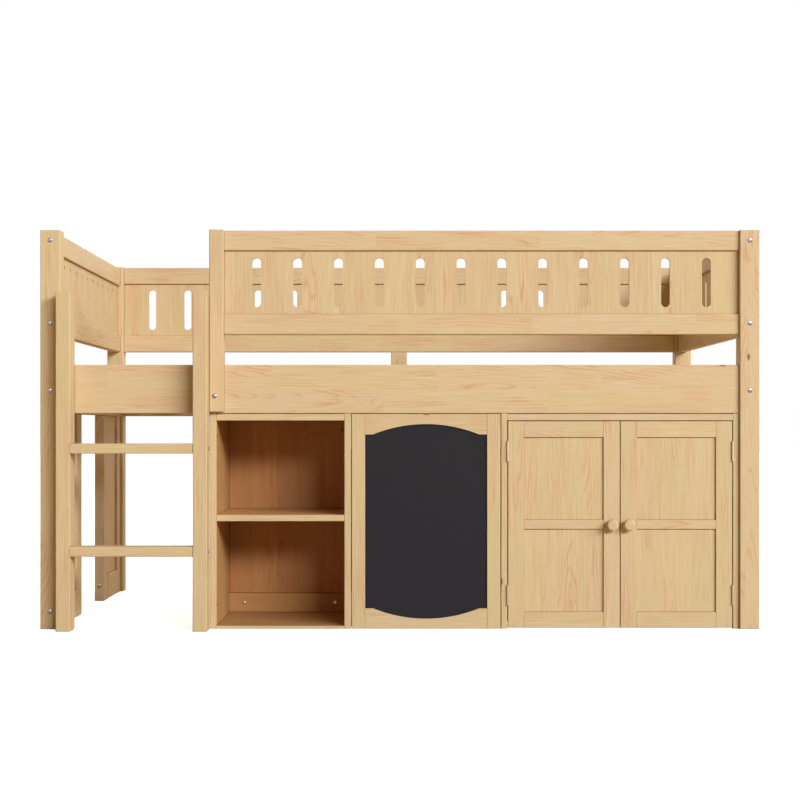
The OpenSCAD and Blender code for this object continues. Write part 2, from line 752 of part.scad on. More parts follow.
// Hinges: side -1 is the left door's, 1 the right door's; own says which knuckles a leaf carries
function hinge_x(s) = s < 0 ? left_hinge_x : right_hinge_x;
module hinge_leaf(s, z, own, wall) {
    pitch = hinge_h / knuckle_count;
    low = z - hinge_h / 2;
    edge = hinge_x(s) + wall * (hinge_gap / 2 - leaf_t);
    x = wall < 0 ? [edge - leaf_t, edge] : [edge, edge + leaf_t];
    difference() {
        union() {
            block(x, [face_y + leaf_air, face_y + leaf_d], [low, low + hinge_h]);
            for (i = [own : 2 : knuckle_count - 1]) {
                span = [low + i * pitch + knuckle_play / 2, low + (i + 1) * pitch - knuckle_play / 2];
                translate([hinge_x(s), hinge_y, span[0]]) cylinder(h = span[1] - span[0], d = knuckle_d);
                block(x, [hinge_y, face_y + 2 * leaf_air], span);
            }
        }
        translate([hinge_x(s), hinge_y, low - 1]) cylinder(h = hinge_h + 2, r = pin_d / 2 + pin_play);
    }
}
module cabinet_hinge_leaves() {
    color(STEEL) for (s = [-1, 1], z = HINGE_ZS) hinge_leaf(s, z, 0, s);
}
module hinge_pins() {
    color(STEEL) for (s = [-1, 1], z = HINGE_ZS)
        translate([hinge_x(s), hinge_y, z - hinge_h / 2]) cylinder(h = hinge_h, d = pin_d);
}
module door_hardware(s) {
    end = (opening_x + opening_end) / 2 + s * catch_w / 2;
    x = s < 0 ? [end, end + strike_w] : [end - strike_w, end];
    color(STEEL) {
        for (z = HINGE_ZS) hinge_leaf(s, z, 1, -s);
        block(x, [door_back_y, door_back_y + strike_t],
            [unit_under - catch_h, unit_under - catch_h + strike_w]);
    }
}

// Bolts and barrel nuts
module bolt(length) {
    difference() {
        union() {
            translate([0, 0, -bolt_head_h]) cylinder(h = bolt_head_h, d = bolt_head_d);
            cylinder(h = length, d = bolt_d);
        }
        translate([0, 0, -bolt_head_h - 1]) cylinder(h = socket_h + 1, d = socket_d, $fn = 6);
    }
}
module frame_bolts() {
    color(STEEL) {
        for (b = NUT_BOLTS) translate(b[0]) rotate(turn_to(b[1])) bolt(b[2] + bolt_past);
        for (b = PLAIN_BOLTS) translate(b[0]) rotate(turn_to(b[1])) bolt(b[2]);
    }
}
module barrel_nuts() {
    color(STEEL) for (b = NUT_BOLTS) difference() {
        translate(b[0] + b[2] * b[1]) rotate(turn_to(b[3])) cylinder(h = nut_l, d = nut_d, center = true);
        translate(b[0]) rotate(turn_to(b[1])) cylinder(h = b[2] + nut_d, d = bolt_d + 2 * nut_play);
    }
}

post(-1, -1);  // post_front_left
post(1, -1);  // post_front_right
post(-1, 1);  // post_back_left
post(1, 1);  // post_back_right
middle_supports();
side_rail(FRONT_Y);  // side_rail_front
side_rail(BACK_Y);  // side_rail_back
end_rail(-1);  // end_rail_left
end_rail(1);  // end_rail_right
slat_cleats();
slats();
guard_post();
guard_top_rail(guard_rail_x, FRONT_Y);  // front_guard_top_rail
guard_panel(guard_rail_x, front_mid_y, front_slots, front_slot_in);  // front_guard_panel
guard_bottom_rail(guard_rail_x, FRONT_Y);  // front_guard_bottom_rail
guard_top_rail(-x_in, BACK_Y);  // back_guard_top_rail
guard_panel(-x_in, back_mid_y, back_slots, back_slot_in);  // back_guard_panel
guard_bottom_rail(-x_in, BACK_Y);  // back_guard_bottom_rail
end_top_rail(-1);  // left_end_top_rail
end_panel(-1);  // left_end_panel
end_bottom_rail(-1);  // left_end_bottom_rail
end_top_rail(1);  // right_end_top_rail
end_panel(1);  // right_end_panel
end_bottom_rail(1);  // right_end_bottom_rail
ladder_rail(ladder_x);  // ladder_rail_left
ladder_rail(guard_x - ladder_rail_t);  // ladder_rail_right
ladder_rungs();
leg_frame_stiles();
leg_frame_rails();
leg_frame_panels();
bookcase_sides();
bookcase_top();
bookcase_shelf();
bookcase_floor();
bookcase_back();
bookcase_back_rail();
blackboard_stiles();
blackboard_rails();
blackboard();
blackboard_battens();
cabinet_sides();
cabinet_top();
cabinet_floor();
cabinet_shelf();
cabinet_back();
magnet_catch();
cabinet_hinge_leaves();
hinge_pins();
door_stiles(left_door_x);  // door_left_stiles
door_rails(left_door_x);  // door_left_rails
door_panels(left_door_x);  // door_left_panels
knob(left_door_x + door_w - knob_in);  // door_left_knob
door_hardware(-1);  // door_left_hardware
door_stiles(right_door_x);  // door_right_stiles
door_rails(right_door_x);  // door_right_rails
door_panels(right_door_x);  // door_right_panels
knob(right_door_x + knob_in);  // door_right_knob
door_hardware(1);  // door_right_hardware
frame_bolts();
barrel_nuts();
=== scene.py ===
# %% [markdown]
# # A low loft bed in light pine
#
# The bed's construction is already modelled as exact solids: posts, rails, guards, ladder,
# bookcase, blackboard and a cabinet with two hinged doors. This lesson loads those solids as a
# fixed frame and dresses them: each board gets lacquered wood with its own grain, the blackboard
# gets its paint, the bolts and hinges their metal. The bolts' domed heads and the screws, which
# are too fine for the solids, are modelled here.

# %% Load the frame
import math

import bmesh
import bpy
from mathutils import Matrix, Vector


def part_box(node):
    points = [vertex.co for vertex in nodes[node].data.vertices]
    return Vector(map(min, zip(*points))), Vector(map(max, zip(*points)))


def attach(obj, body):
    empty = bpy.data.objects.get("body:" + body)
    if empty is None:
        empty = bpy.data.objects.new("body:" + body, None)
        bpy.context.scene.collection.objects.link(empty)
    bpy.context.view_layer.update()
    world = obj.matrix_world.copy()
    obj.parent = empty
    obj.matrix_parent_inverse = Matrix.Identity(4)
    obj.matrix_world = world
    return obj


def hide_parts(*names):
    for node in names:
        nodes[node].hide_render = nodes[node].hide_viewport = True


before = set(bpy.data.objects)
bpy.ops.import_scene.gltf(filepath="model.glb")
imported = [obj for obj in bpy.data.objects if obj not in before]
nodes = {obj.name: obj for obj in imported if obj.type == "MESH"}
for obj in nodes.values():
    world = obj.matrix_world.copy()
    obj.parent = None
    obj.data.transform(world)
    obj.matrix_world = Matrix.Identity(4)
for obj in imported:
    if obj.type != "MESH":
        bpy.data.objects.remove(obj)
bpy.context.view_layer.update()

# %% [markdown]
# ## The camera
#
# The photo looks straight at the long side with almost no tilt, so the verticals stay parallel. A
# studio photographer gets that with a level camera and a shifted lens. In Blender the camera stays
# level too, and the shift moves the picture on the sensor, which keeps every vertical edge
# upright.

# %% Camera
MM = 0.001
SENSOR = 36.0                # mm, the width of a full-frame sensor
POST_PLANE = -505.5 * MM     # the posts' front faces
CAMERA_DISTANCE = 4.350      # m, in front of that plane
CAMERA_X = -0.0118           # m
CAMERA_Z = 0.5620            # m above the floor
PIXEL = 2.793 * MM           # one pixel of the photo in that plane
PICTURE = 800                # pixels
VANISHING_X = 395.7          # the pixel where lines into the depth meet
VANISHING_Y = 428.0
FAR_CLIP = 60                # m

lens = bpy.data.cameras.new("camera")
lens.sensor_width = SENSOR
lens.lens = SENSOR * CAMERA_DISTANCE / (PICTURE * PIXEL)
lens.shift_x = (PICTURE / 2 - VANISHING_X) / PICTURE
lens.shift_y = (VANISHING_Y - PICTURE / 2) / PICTURE
lens.clip_end = FAR_CLIP
camera = bpy.data.objects.new("camera", lens)
bpy.context.scene.collection.objects.link(camera)
camera.location = (CAMERA_X, POST_PLANE - CAMERA_DISTANCE, CAMERA_Z)
camera.rotation_euler = (math.radians(90), 0, 0)
bpy.context.scene.camera = camera
print("lens", round(lens.lens, 2), "mm, shift", round(lens.shift_x, 4), round(lens.shift_y, 4))

# %% [markdown]
# ## Colours and shader nodes
#
# Colours are picked on screen as sRGB hex values, but a shader works in linear light, so one
# function turns a hex value into linear numbers. A second one adds a shader node: it takes the
# kind, what goes into its sockets, and its settings, so that every material below is built in the
# same way. A third one starts a material with an empty tree.

# %% Three helpers
def linear(hex_colour):
    """A hex colour such as D5BD97 as linear red, green, blue and alpha."""
    parts = [int(hex_colour[i:i + 2], 16) / 255 for i in (0, 2, 4)]
    return [p / 12.92 if p <= 0.04045 else ((p + 0.055) / 1.055) ** 2.4 for p in parts] + [1.0]


def add(tree, kind, sockets=None, **settings):
    """Adds one node; a socket takes a number, a colour, or another node's output."""
    node = tree.nodes.new(kind)
    for key, value in settings.items():
        setattr(node, key, value)
    for key, value in (sockets or {}).items():
        if isinstance(value, bpy.types.NodeSocket):
            tree.links.new(value, node.inputs[key])
        else:
            node.inputs[key].default_value = value
    return node


def new_material(name):
    """An empty node material and its tree."""
    material = bpy.data.materials.new(name)
    material.use_nodes = True
    material.node_tree.nodes.clear()
    return material, material.node_tree


print("D5BD97 is linear", [round(v, 3) for v in linear("D5BD97")])

# %% [markdown]
# ## Light and floor
#
# The photo is a studio picture. The ladder's shadow on the post behind it is sharp at its top and
# very soft sideways, and no end of the bed is brighter than the other. So the main light is a long
# low strip far off to the right, a pale room fills the shadows, dimmer on the left, and a lit
# backdrop gives the back of the bed its light. A few small lamps would be simpler, but each would
# light the near end more and draw its own hard shadow. A wide flat area light gives the strip, and
# the world is the room. The world and the floor show as plain white to the camera through Light
# Path, so the light on the wood stays at a level where a colour renders about as it was written.

# %% World and strip light
ROOM_DIM = 0.07          # the dim side of the room, to the left
ROOM_BRIGHT = 0.38       # the bright side, to the right
BACKDROP = 1.50          # what the white backdrop behind the bed adds
ROOM_SIDE = 0.8          # how far sideways a direction points where the room is at its full level
BACKDROP_SIDE = 0.7      # the same for the backdrop, backwards
ROOM_DIM_TINT = "EDBE86"
ROOM_BRIGHT_TINT = "FCE8CC"
BACKDROP_TINT = "FFF6EA"
STRIP_POWER = 18900
STRIP_SIZE = (34.0, 6.3) # m
STRIP_DISTANCE = 40.0    # m, far off, so that the bed's near and far end get the same light
STRIP_AZIMUTH = 38       # degrees
STRIP_HEIGHT = 20        # degrees above the horizon
STRIP_TINT = "F4F8FF"

world = bpy.data.worlds.new("white_room")
bpy.context.scene.world = world
world.use_nodes = True
tree = world.node_tree
tree.nodes.clear()
path = add(tree, "ShaderNodeLightPath")
seen = add(tree, "ShaderNodeMath", {0: path.outputs["Is Camera Ray"],
                                    1: path.outputs["Is Glossy Ray"]}, operation="MAXIMUM")
seen = add(tree, "ShaderNodeMath", {0: seen.outputs[0], 1: path.outputs["Is Transmission Ray"]},
           operation="MAXIMUM")
way = add(tree, "ShaderNodeTexCoord")
side = add(tree, "ShaderNodeSeparateXYZ", {0: way.outputs["Generated"]})
level = add(tree, "ShaderNodeMapRange", {"Value": side.outputs[0], "From Min": -ROOM_SIDE,
                                         "From Max": ROOM_SIDE, "To Min": ROOM_DIM,
                                         "To Max": ROOM_BRIGHT})
behind = add(tree, "ShaderNodeMapRange", {"Value": side.outputs[1], "From Max": BACKDROP_SIDE,
                                          "To Max": BACKDROP})
warmth = add(tree, "ShaderNodeMapRange", {"Value": side.outputs[0], "From Min": -ROOM_SIDE,
                                          "From Max": ROOM_SIDE})
wall = add(tree, "ShaderNodeMix", {0: warmth.outputs[0], 6: linear(ROOM_DIM_TINT),
                                   7: linear(ROOM_BRIGHT_TINT)}, data_type="RGBA")
room = add(tree, "ShaderNodeBackground", {"Color": wall.outputs[2], "Strength": level.outputs[0]})
back_wall = add(tree, "ShaderNodeBackground", {"Color": linear(BACKDROP_TINT),
                                               "Strength": behind.outputs[0]})
room = add(tree, "ShaderNodeAddShader", {0: room.outputs[0], 1: back_wall.outputs[0]})
white = add(tree, "ShaderNodeBackground", {"Color": (1, 1, 1, 1), "Strength": 1.0})
both = add(tree, "ShaderNodeMixShader", {0: seen.outputs[0], 1: room.outputs[0],
                                         2: white.outputs[0]})
add(tree, "ShaderNodeOutputWorld", {"Surface": both.outputs[0]})

strip = bpy.data.objects.new("strip_light", bpy.data.lights.new("strip_light", "AREA"))
bpy.context.scene.collection.objects.link(strip)
strip.data.shape = "RECTANGLE"
strip.data.size, strip.data.size_y = STRIP_SIZE
strip.data.energy = STRIP_POWER
strip.data.color = linear(STRIP_TINT)[:3]
strip.rotation_euler = (math.radians(90 - STRIP_HEIGHT), 0, math.radians(STRIP_AZIMUTH))
back_along = Vector((0, 0, STRIP_DISTANCE))
back_along.rotate(strip.rotation_euler)
strip.location = Vector((0, 0, CAMERA_Z)) + back_along
strip.visible_camera = False
print("strip light at", [round(v, 2) for v in strip.location])

# %% White floor
FLOOR_HALF = 30           # m
FLOOR_PAINT = "F0F0EF"
FLOOR_PAINT_LIGHT = "F3F3F2"
FLOOR_MOTTLE = 3.0        # soft spots in each metre
FLOOR_GLOW = 0.74
FLOOR_BOUNCE = "CDBA98"   # what the floor sends back up to the bed

mesh = bpy.data.meshes.new("studio_floor")
shape = bmesh.new()
bmesh.ops.create_grid(shape, x_segments=1, y_segments=1, size=FLOOR_HALF)
shape.to_mesh(mesh)
shape.free()
floor = bpy.data.objects.new("studio_floor", mesh)
bpy.context.scene.collection.objects.link(floor)

material, tree = new_material("painted_studio_floor")
path = add(tree, "ShaderNodeLightPath")
place = add(tree, "ShaderNodeTexCoord")
paint = add(tree, "ShaderNodeTexNoise", {"Vector": place.outputs["Object"], "Scale": FLOOR_MOTTLE})
tint = add(tree, "ShaderNodeMix", {0: paint.outputs["Fac"], 6: linear(FLOOR_PAINT),
                                   7: linear(FLOOR_PAINT_LIGHT)}, data_type="RGBA")
matt = add(tree, "ShaderNodeBsdfDiffuse", {"Color": tint.outputs[2]})
dim = add(tree, "ShaderNodeBsdfDiffuse", {"Color": linear(FLOOR_BOUNCE)})
glow = add(tree, "ShaderNodeEmission", {"Color": (1, 1, 1, 1), "Strength": FLOOR_GLOW})
lit = add(tree, "ShaderNodeAddShader", {0: matt.outputs[0], 1: glow.outputs[0]})
shown = add(tree, "ShaderNodeMixShader", {0: path.outputs["Is Camera Ray"], 1: dim.outputs[0],
                                          2: lit.outputs[0]})
add(tree, "ShaderNodeOutputMaterial", {"Surface": shown.outputs[0]})
mesh.materials.append(material)
print("floor ready")

# %% [markdown]
# ## Lacquered pine
#
# The bed is made of edge-glued pine: narrow staves, planed, sanded and glued into boards, then
# sprayed with a clear matt lacquer. The eye sees a pale honey colour, a tint that steps a little
# from stave to stave, faint growth rings that open into flames where a board is cut near the pith,
# short fibre strokes along the grain, and now and then a small dark fleck.
#
# A photo of wood would be the quick way, but it would not wrap round the edges or match at the end
# grain. Here the wood is a solid pattern instead: a point's place in the board, in millimetres
# along, across and through, decides its colour, so every face of a board shows the same piece of
# wood.

# %% Wood figure as one shared node group
WOOD_HONEY = "D5BD97"
WOOD_PINK = "D8B992"
WOOD_YELLOW = "D4BF90"
WOOD_LIGHT = "E5D3B1"
WOOD_LATE = "AC7C40"
WOOD_FLECK = "8C5F36"

figure = bpy.data.node_groups.new("pine_figure", "ShaderNodeTree")
for name, kind in (("Board", "NodeSocketVector"), ("Stave width", "NodeSocketFloat"),
                   ("Stave length", "NodeSocketFloat"), ("Stagger", "NodeSocketFloat"),
                   ("Darkest stave", "NodeSocketFloat"), ("Seed", "NodeSocketFloat"),
                   ("Painted shade", "NodeSocketColor")):
    figure.interface.new_socket(name, in_out="INPUT", socket_type=kind)
for name, kind in (("Colour", "NodeSocketColor"), ("Height", "NodeSocketFloat"),
                   ("Roughness", "NodeSocketFloat")):
    figure.interface.new_socket(name, in_out="OUTPUT", socket_type=kind)
given = add(figure, "NodeGroupInput")
board = add(figure, "ShaderNodeSeparateXYZ", {0: given.outputs["Board"]})
along, across, through = board.outputs

# %% [markdown]
# First the staves. Dividing a point's place across the board by the stave width and rounding down
# numbers the staves, and white noise turns each number into a fixed random tint. Long boards are
# also joined end to end, so the same is done along the grain, with the joints staggered from row
# to row.

# %% Staves
row_place = add(figure, "ShaderNodeMath", {0: across, 1: given.outputs["Stave width"]},
                operation="DIVIDE")
row = add(figure, "ShaderNodeMath", {0: row_place.outputs[0]}, operation="FLOOR")
row_key = add(figure, "ShaderNodeCombineXYZ", {0: row.outputs[0], 1: given.outputs["Seed"]})
row_random = add(figure, "ShaderNodeTexWhiteNoise", {"Vector": row_key.outputs[0]})
block_place = add(figure, "ShaderNodeMath", {0: along, 1: given.outputs["Stave length"]},
                  operation="DIVIDE")
block_place = add(figure, "ShaderNodeMath", {0: row_random.outputs["Value"],
                                             1: given.outputs["Stagger"],
                                             2: block_place.outputs[0]}, operation="MULTIPLY_ADD")
block = add(figure, "ShaderNodeMath", {0: block_place.outputs[0]}, operation="FLOOR")
stave_key = add(figure, "ShaderNodeCombineXYZ", {0: row.outputs[0], 1: block.outputs[0],
                                                 2: given.outputs["Seed"]})
stave_random = add(figure, "ShaderNodeTexWhiteNoise", {"Vector": stave_key.outputs[0]})
draw = add(figure, "ShaderNodeSeparateColor", {0: stave_random.outputs["Color"]})
print("staves take", len(figure.nodes), "nodes")

# %% [markdown]
# Then the growth rings. A log is a stack of slightly wavy cones round its pith, so a ring is found
# from the distance to a pith line that passes somewhere below each stave, at a small angle. Where
# the board's face cuts the cones flat the rings open into flames, and at the board's end they are
# arcs.

# %% Growth rings
RING = 4.5            # mm between growth rings, a little coarse so that they show here
LATE_FROM = 0.55      # where in a ring the dark late wood begins
LATE_FULL = 0.90      # where it is darkest; it ends sharply at the ring's end
PITH_SPREAD = 150.0   # mm, how far to the side the pith may lie
PITH_DEPTH = 30.0     # mm, the least depth of the pith below the face
PITH_DEEPER = 60.0    # mm, how much deeper it may lie
PITH_TILT = 0.10      # mm of depth for each mm along the board, at most
WANDER = (320, 42)    # mm, how long and how wide the waves of the rings are
WAVE = 26.0           # mm, how high they are


def stretch(long, wide):
    """Factors that turn mm into cells so long along the grain and so wide across it."""
    return (1 / long, 1 / wide, 1 / wide)


wander = add(figure, "ShaderNodeVectorMath", {0: given.outputs["Board"], 1: stretch(*WANDER)},
             operation="MULTIPLY")
wander = add(figure, "ShaderNodeVectorMath", {0: wander.outputs[0],
                                              1: stave_random.outputs["Color"]}, operation="ADD")
wander = add(figure, "ShaderNodeTexNoise", {"Vector": wander.outputs[0], "Scale": 1.0,
                                            "Detail": 2.0})
pith_side = add(figure, "ShaderNodeMath", {0: draw.outputs[0], 1: PITH_SPREAD, 2: across},
                operation="MULTIPLY_ADD")
pith_side = add(figure, "ShaderNodeMath", {0: pith_side.outputs[0], 1: PITH_SPREAD / 2},
                operation="SUBTRACT")
row_middle = add(figure, "ShaderNodeMath", {0: row.outputs[0], 1: given.outputs["Stave width"]},
                 operation="MULTIPLY")
pith_side = add(figure, "ShaderNodeMath", {0: pith_side.outputs[0], 1: row_middle.outputs[0]},
                operation="SUBTRACT")
tilt = add(figure, "ShaderNodeMapRange", {"Value": draw.outputs[1], "To Min": -PITH_TILT,
                                          "To Max": PITH_TILT})
pith_below = add(figure, "ShaderNodeMath", {0: along, 1: tilt.outputs[0], 2: through},
                 operation="MULTIPLY_ADD")
pith_below = add(figure, "ShaderNodeMath", {0: draw.outputs[2], 1: PITH_DEEPER,
                                            2: pith_below.outputs[0]}, operation="MULTIPLY_ADD")
pith_below = add(figure, "ShaderNodeMath", {0: pith_below.outputs[0], 1: PITH_DEPTH},
                 operation="ADD")
cone = add(figure, "ShaderNodeCombineXYZ", {1: pith_side.outputs[0], 2: pith_below.outputs[0]})
radius = add(figure, "ShaderNodeVectorMath", {0: cone.outputs[0]}, operation="LENGTH")
radius = add(figure, "ShaderNodeMath", {0: wander.outputs["Fac"], 1: WAVE,
                                        2: radius.outputs["Value"]}, operation="MULTIPLY_ADD")
ring = add(figure, "ShaderNodeMath", {0: radius.outputs[0], 1: RING}, operation="DIVIDE")
ring = add(figure, "ShaderNodeMath", {0: ring.outputs[0]}, operation="FRACT")
rising = add(figure, "ShaderNodeMapRange", {"Value": ring.outputs[0], "From Min": LATE_FROM,
                                            "From Max": LATE_FULL},
             interpolation_type="SMOOTHSTEP")
falling = add(figure, "ShaderNodeMapRange", {"Value": ring.outputs[0], "From Min": LATE_FULL,
                                             "From Max": 1.0, "To Min": 1.0, "To Max": 0.0})
late = add(figure, "ShaderNodeMath", {0: rising.outputs[0], 1: falling.outputs[0]},
           operation="MULTIPLY")
print("a ring every", RING, "mm, late wood from", round(RING * LATE_FROM, 1), "mm on")

# %% [markdown]
# Last the small things: fibre strokes are noise stretched along the grain, soft patches are the
# same noise much larger, and flecks are the points of a stretched cell pattern, nearly half of
# them switched off.

# %% Strokes, patches and flecks
NOISES = {                        # mm along the grain, mm across, detail
    "stroke": (110.0, 3.0, 2.0),  # about twice as coarse as real fibres, to show here
    "hair": (60, 1.5, 1.0),
    "patch": (210, 38, 1.0),
    "presence": (150, 30, 1.0),   # decides where the strokes are strong
}
STRAY = 900                       # mm, how far apart the staves' patterns are taken
PRESENCE_SPAN = (0.42, 0.66)      # of that noise, from faint to full strokes
PRESENCE_FAINT = 0.30
FLECK_CELL = (240, 110)           # mm, each cell may hold one fleck
FLECK_LIMIT = 0.45                # a cell whose random number is lower has none
FLECK_CORE = 0.012                # radius in cells
FLECK_EDGE = 0.060

moved = add(figure, "ShaderNodeVectorMath", {0: stave_random.outputs["Color"], 1: (STRAY,) * 3,
                                             2: given.outputs["Board"]}, operation="MULTIPLY_ADD")
noise = {}
for name, (long, wide, detail) in NOISES.items():
    cells = add(figure, "ShaderNodeVectorMath", {0: moved.outputs[0], 1: stretch(long, wide)},
                operation="MULTIPLY")
    noise[name] = add(figure, "ShaderNodeTexNoise", {"Vector": cells.outputs[0], "Scale": 1.0,
                                                     "Detail": detail}).outputs["Fac"]
presence = add(figure, "ShaderNodeMapRange", {"Value": noise["presence"],
                                              "From Min": PRESENCE_SPAN[0],
                                              "From Max": PRESENCE_SPAN[1],
                                              "To Min": PRESENCE_FAINT, "To Max": 1.0})
cells = add(figure, "ShaderNodeVectorMath", {0: moved.outputs[0], 1: stretch(*FLECK_CELL)},
            operation="MULTIPLY")
cell = add(figure, "ShaderNodeTexVoronoi", {"Vector": cells.outputs[0], "Scale": 1.0})
cell_draw = add(figure, "ShaderNodeSeparateColor", {0: cell.outputs["Color"]})
chosen = add(figure, "ShaderNodeMath", {0: cell_draw.outputs[0], 1: FLECK_LIMIT},
             operation="GREATER_THAN")
fleck = add(figure, "ShaderNodeMapRange", {"Value": cell.outputs["Distance"],
                                           "From Min": FLECK_CORE, "From Max": FLECK_EDGE,
                                           "To Min": 1.0, "To Max": 0.0},
            interpolation_type="SMOOTHSTEP")
fleck = add(figure, "ShaderNodeMath", {0: fleck.outputs[0], 1: chosen.outputs[0]},
            operation="MULTIPLY")
print("strokes, patches and flecks come from", len(noise) + 1, "patterns")

# %% [markdown]
# The parts are now mixed. The tint of the stave comes first, the patches push it towards pink, and
# rings and strokes darken it a little towards the colour of late wood. All of it is kept faint,
# because a clear light pine seen from five metres is nearly plain.

# %% Mix the figure
PINK_SPAN = (0.48, 0.72)     # of the patch noise, from yellow to pink
PINK_DRAW = 0.30             # how much pink the stave's own random number adds
FLAME_SPAN = (0.46, 0.66)    # of the patch noise, from plain wood to clear rings
FLAME_FAINT = 0.01           # how dark late wood is in the plain parts of a board
FLAME_CLEAR = 0.32           # and where the rings show
STROKE_SPAN = (0.46, 0.70)   # of the stroke noise, from no stroke to the darkest one
STROKE_DARK = 0.26
PALE_SPAN = (0.46, 0.28)     # of the same noise, from no stroke to the palest one
STROKE_PALE = 0.40
HAIR_SPAN = (0.45, 0.80)
HAIR_DARK = 0.15
GLOSS_SPAN = (0.30, 0.70)    # of the stroke noise, from smooth to rough
GLOSS_ROUGH = (0.46, 0.58)   # matt lacquer

tinted = add(figure, "ShaderNodeMix", {0: draw.outputs[1], 6: linear(WOOD_YELLOW),
                                       7: linear(WOOD_HONEY)}, data_type="RGBA")
pinkness = add(figure, "ShaderNodeMapRange", {"Value": noise["patch"], "From Min": PINK_SPAN[0],
                                              "From Max": PINK_SPAN[1]},
               interpolation_type="SMOOTHSTEP")
pinkness = add(figure, "ShaderNodeMath", {0: draw.outputs[0], 1: PINK_DRAW,
                                          2: pinkness.outputs[0]},
               operation="MULTIPLY_ADD", use_clamp=True)
tinted = add(figure, "ShaderNodeMix", {0: pinkness.outputs[0], 6: tinted.outputs[2],
                                       7: linear(WOOD_PINK)}, data_type="RGBA")
shade = add(figure, "ShaderNodeMapRange", {"Value": draw.outputs[2],
                                           "To Min": given.outputs["Darkest stave"],
                                           "To Max": 1.0})
tinted = add(figure, "ShaderNodeVectorMath", {0: tinted.outputs[2], "Scale": shade.outputs[0]},
             operation="SCALE")
clear = add(figure, "ShaderNodeMapRange", {"Value": noise["patch"], "From Min": FLAME_SPAN[0],
                                           "From Max": FLAME_SPAN[1], "To Min": FLAME_FAINT,
                                           "To Max": FLAME_CLEAR},
            interpolation_type="SMOOTHSTEP")
dark = add(figure, "ShaderNodeMath", {0: late.outputs[0], 1: clear.outputs[0]},
           operation="MULTIPLY")
strokes = add(figure, "ShaderNodeMapRange", {"Value": noise["stroke"],
                                             "From Min": STROKE_SPAN[0],
                                             "From Max": STROKE_SPAN[1],
                                             "To Max": STROKE_DARK},
              interpolation_type="SMOOTHSTEP")
strokes = add(figure, "ShaderNodeMath", {0: strokes.outputs[0], 1: presence.outputs[0]},
              operation="MULTIPLY")
dark = add(figure, "ShaderNodeMath", {0: dark.outputs[0], 1: strokes.outputs[0]}, operation="ADD")
hairs = add(figure, "ShaderNodeMapRange", {"Value": noise["hair"], "From Min": HAIR_SPAN[0],
                                           "From Max": HAIR_SPAN[1], "To Max": HAIR_DARK})
dark = add(figure, "ShaderNodeMath", {0: dark.outputs[0], 1: hairs.outputs[0]}, operation="ADD",
           use_clamp=True)
pale = add(figure, "ShaderNodeMapRange", {"Value": noise["stroke"], "From Min": PALE_SPAN[0],
                                          "From Max": PALE_SPAN[1], "To Max": STROKE_PALE},
           interpolation_type="SMOOTHSTEP")
pale = add(figure, "ShaderNodeMath", {0: pale.outputs[0], 1: presence.outputs[0]},
           operation="MULTIPLY")
wood = tinted.outputs[0]
for amount, colour in ((pale, WOOD_LIGHT), (dark, WOOD_LATE), (fleck, WOOD_FLECK)):
    wood = add(figure, "ShaderNodeMix", {0: amount.outputs[0], 6: wood, 7: linear(colour)},
               data_type="RGBA").outputs[2]
# Painted shade: the wood's colour is multiplied by a shade colour, white on most boards and darker
# and warmer inside the bookcase.
wood = add(figure, "ShaderNodeMix", {0: 1.0, 6: wood, 7: given.outputs["Painted shade"]},
           data_type="RGBA", blend_type="MULTIPLY")
height = add(figure, "ShaderNodeMath", {0: 1.0, 1: dark.outputs[0]}, operation="SUBTRACT")
gloss = add(figure, "ShaderNodeMapRange", {"Value": noise["stroke"], "From Min": GLOSS_SPAN[0],
                                           "From Max": GLOSS_SPAN[1], "To Min": GLOSS_ROUGH[0],
                                           "To Max": GLOSS_ROUGH[1]})
add(figure, "NodeGroupOutput", {"Colour": wood.outputs[2], "Height": height.outputs[0],
                                "Roughness": gloss.outputs[0]})
print("figure group has", len(figure.nodes), "nodes")

# %% [markdown]
# ## Giving each board its wood
#
# Every board is cut along its own length, so each node says which way its grain runs, which way
# its staves lie side by side, how many there are, and how long they are. The pattern starts at the
# node's own lowest corner, so that the glue lines fall where a maker would put them. A board of
# one stave has the number one. Each material is named for its node, and its seed is its place in
# the list.
#
# Where two boards meet, a thin brown line of painted shade is drawn in the corner, darker where
# shade falls. It could be painted in by hand, but the Ambient Occlusion node finds such corners by
# itself: it tells how much of a point's surroundings is closed off within a few millimetres.

# %% Grain of each node
WHOLE = 9000      # mm, longer than any board: the stave isn't joined end to end
JOINED = 460      # mm between end joints in the long rails
LEG_JOINED = 480  # mm, the same in the rails of the leg frames
PANEL_SPLIT = 253 # mm, from the foot of a door's panels to its middle rail, where other wood begins

# for each node: the grain's axis, the axis across the staves, their number, mm between end joints
FINISH = {
    "post_front_left": ("z", "x", 1, WHOLE),
    "post_front_right": ("z", "x", 1, WHOLE),
    "post_back_left": ("z", "x", 1, WHOLE),
    "post_back_right": ("z", "x", 1, WHOLE),
    "middle_supports": ("z", "x", 1, WHOLE),
    "guard_post": ("z", "x", 1, WHOLE),
    "side_rail_front": ("x", "z", 2, JOINED),
    "side_rail_back": ("x", "z", 2, JOINED),
    "end_rail_left": ("y", "z", 2, JOINED),
    "end_rail_right": ("y", "z", 2, JOINED),
    "slat_cleats": ("x", "y", 2, JOINED),
    "slats": ("y", "x", 14, WHOLE),
}
for slotted, grain, staves in (("front_guard", "x", 17), ("back_guard", "x", 23),
                               ("left_end", "y", 11), ("right_end", "y", 11)):
    FINISH[f"{slotted}_top_rail"] = (grain, "z", 1, JOINED)
    FINISH[f"{slotted}_panel"] = ("z", grain, staves, WHOLE)
    FINISH[f"{slotted}_bottom_rail"] = (grain, "z", 1, JOINED)
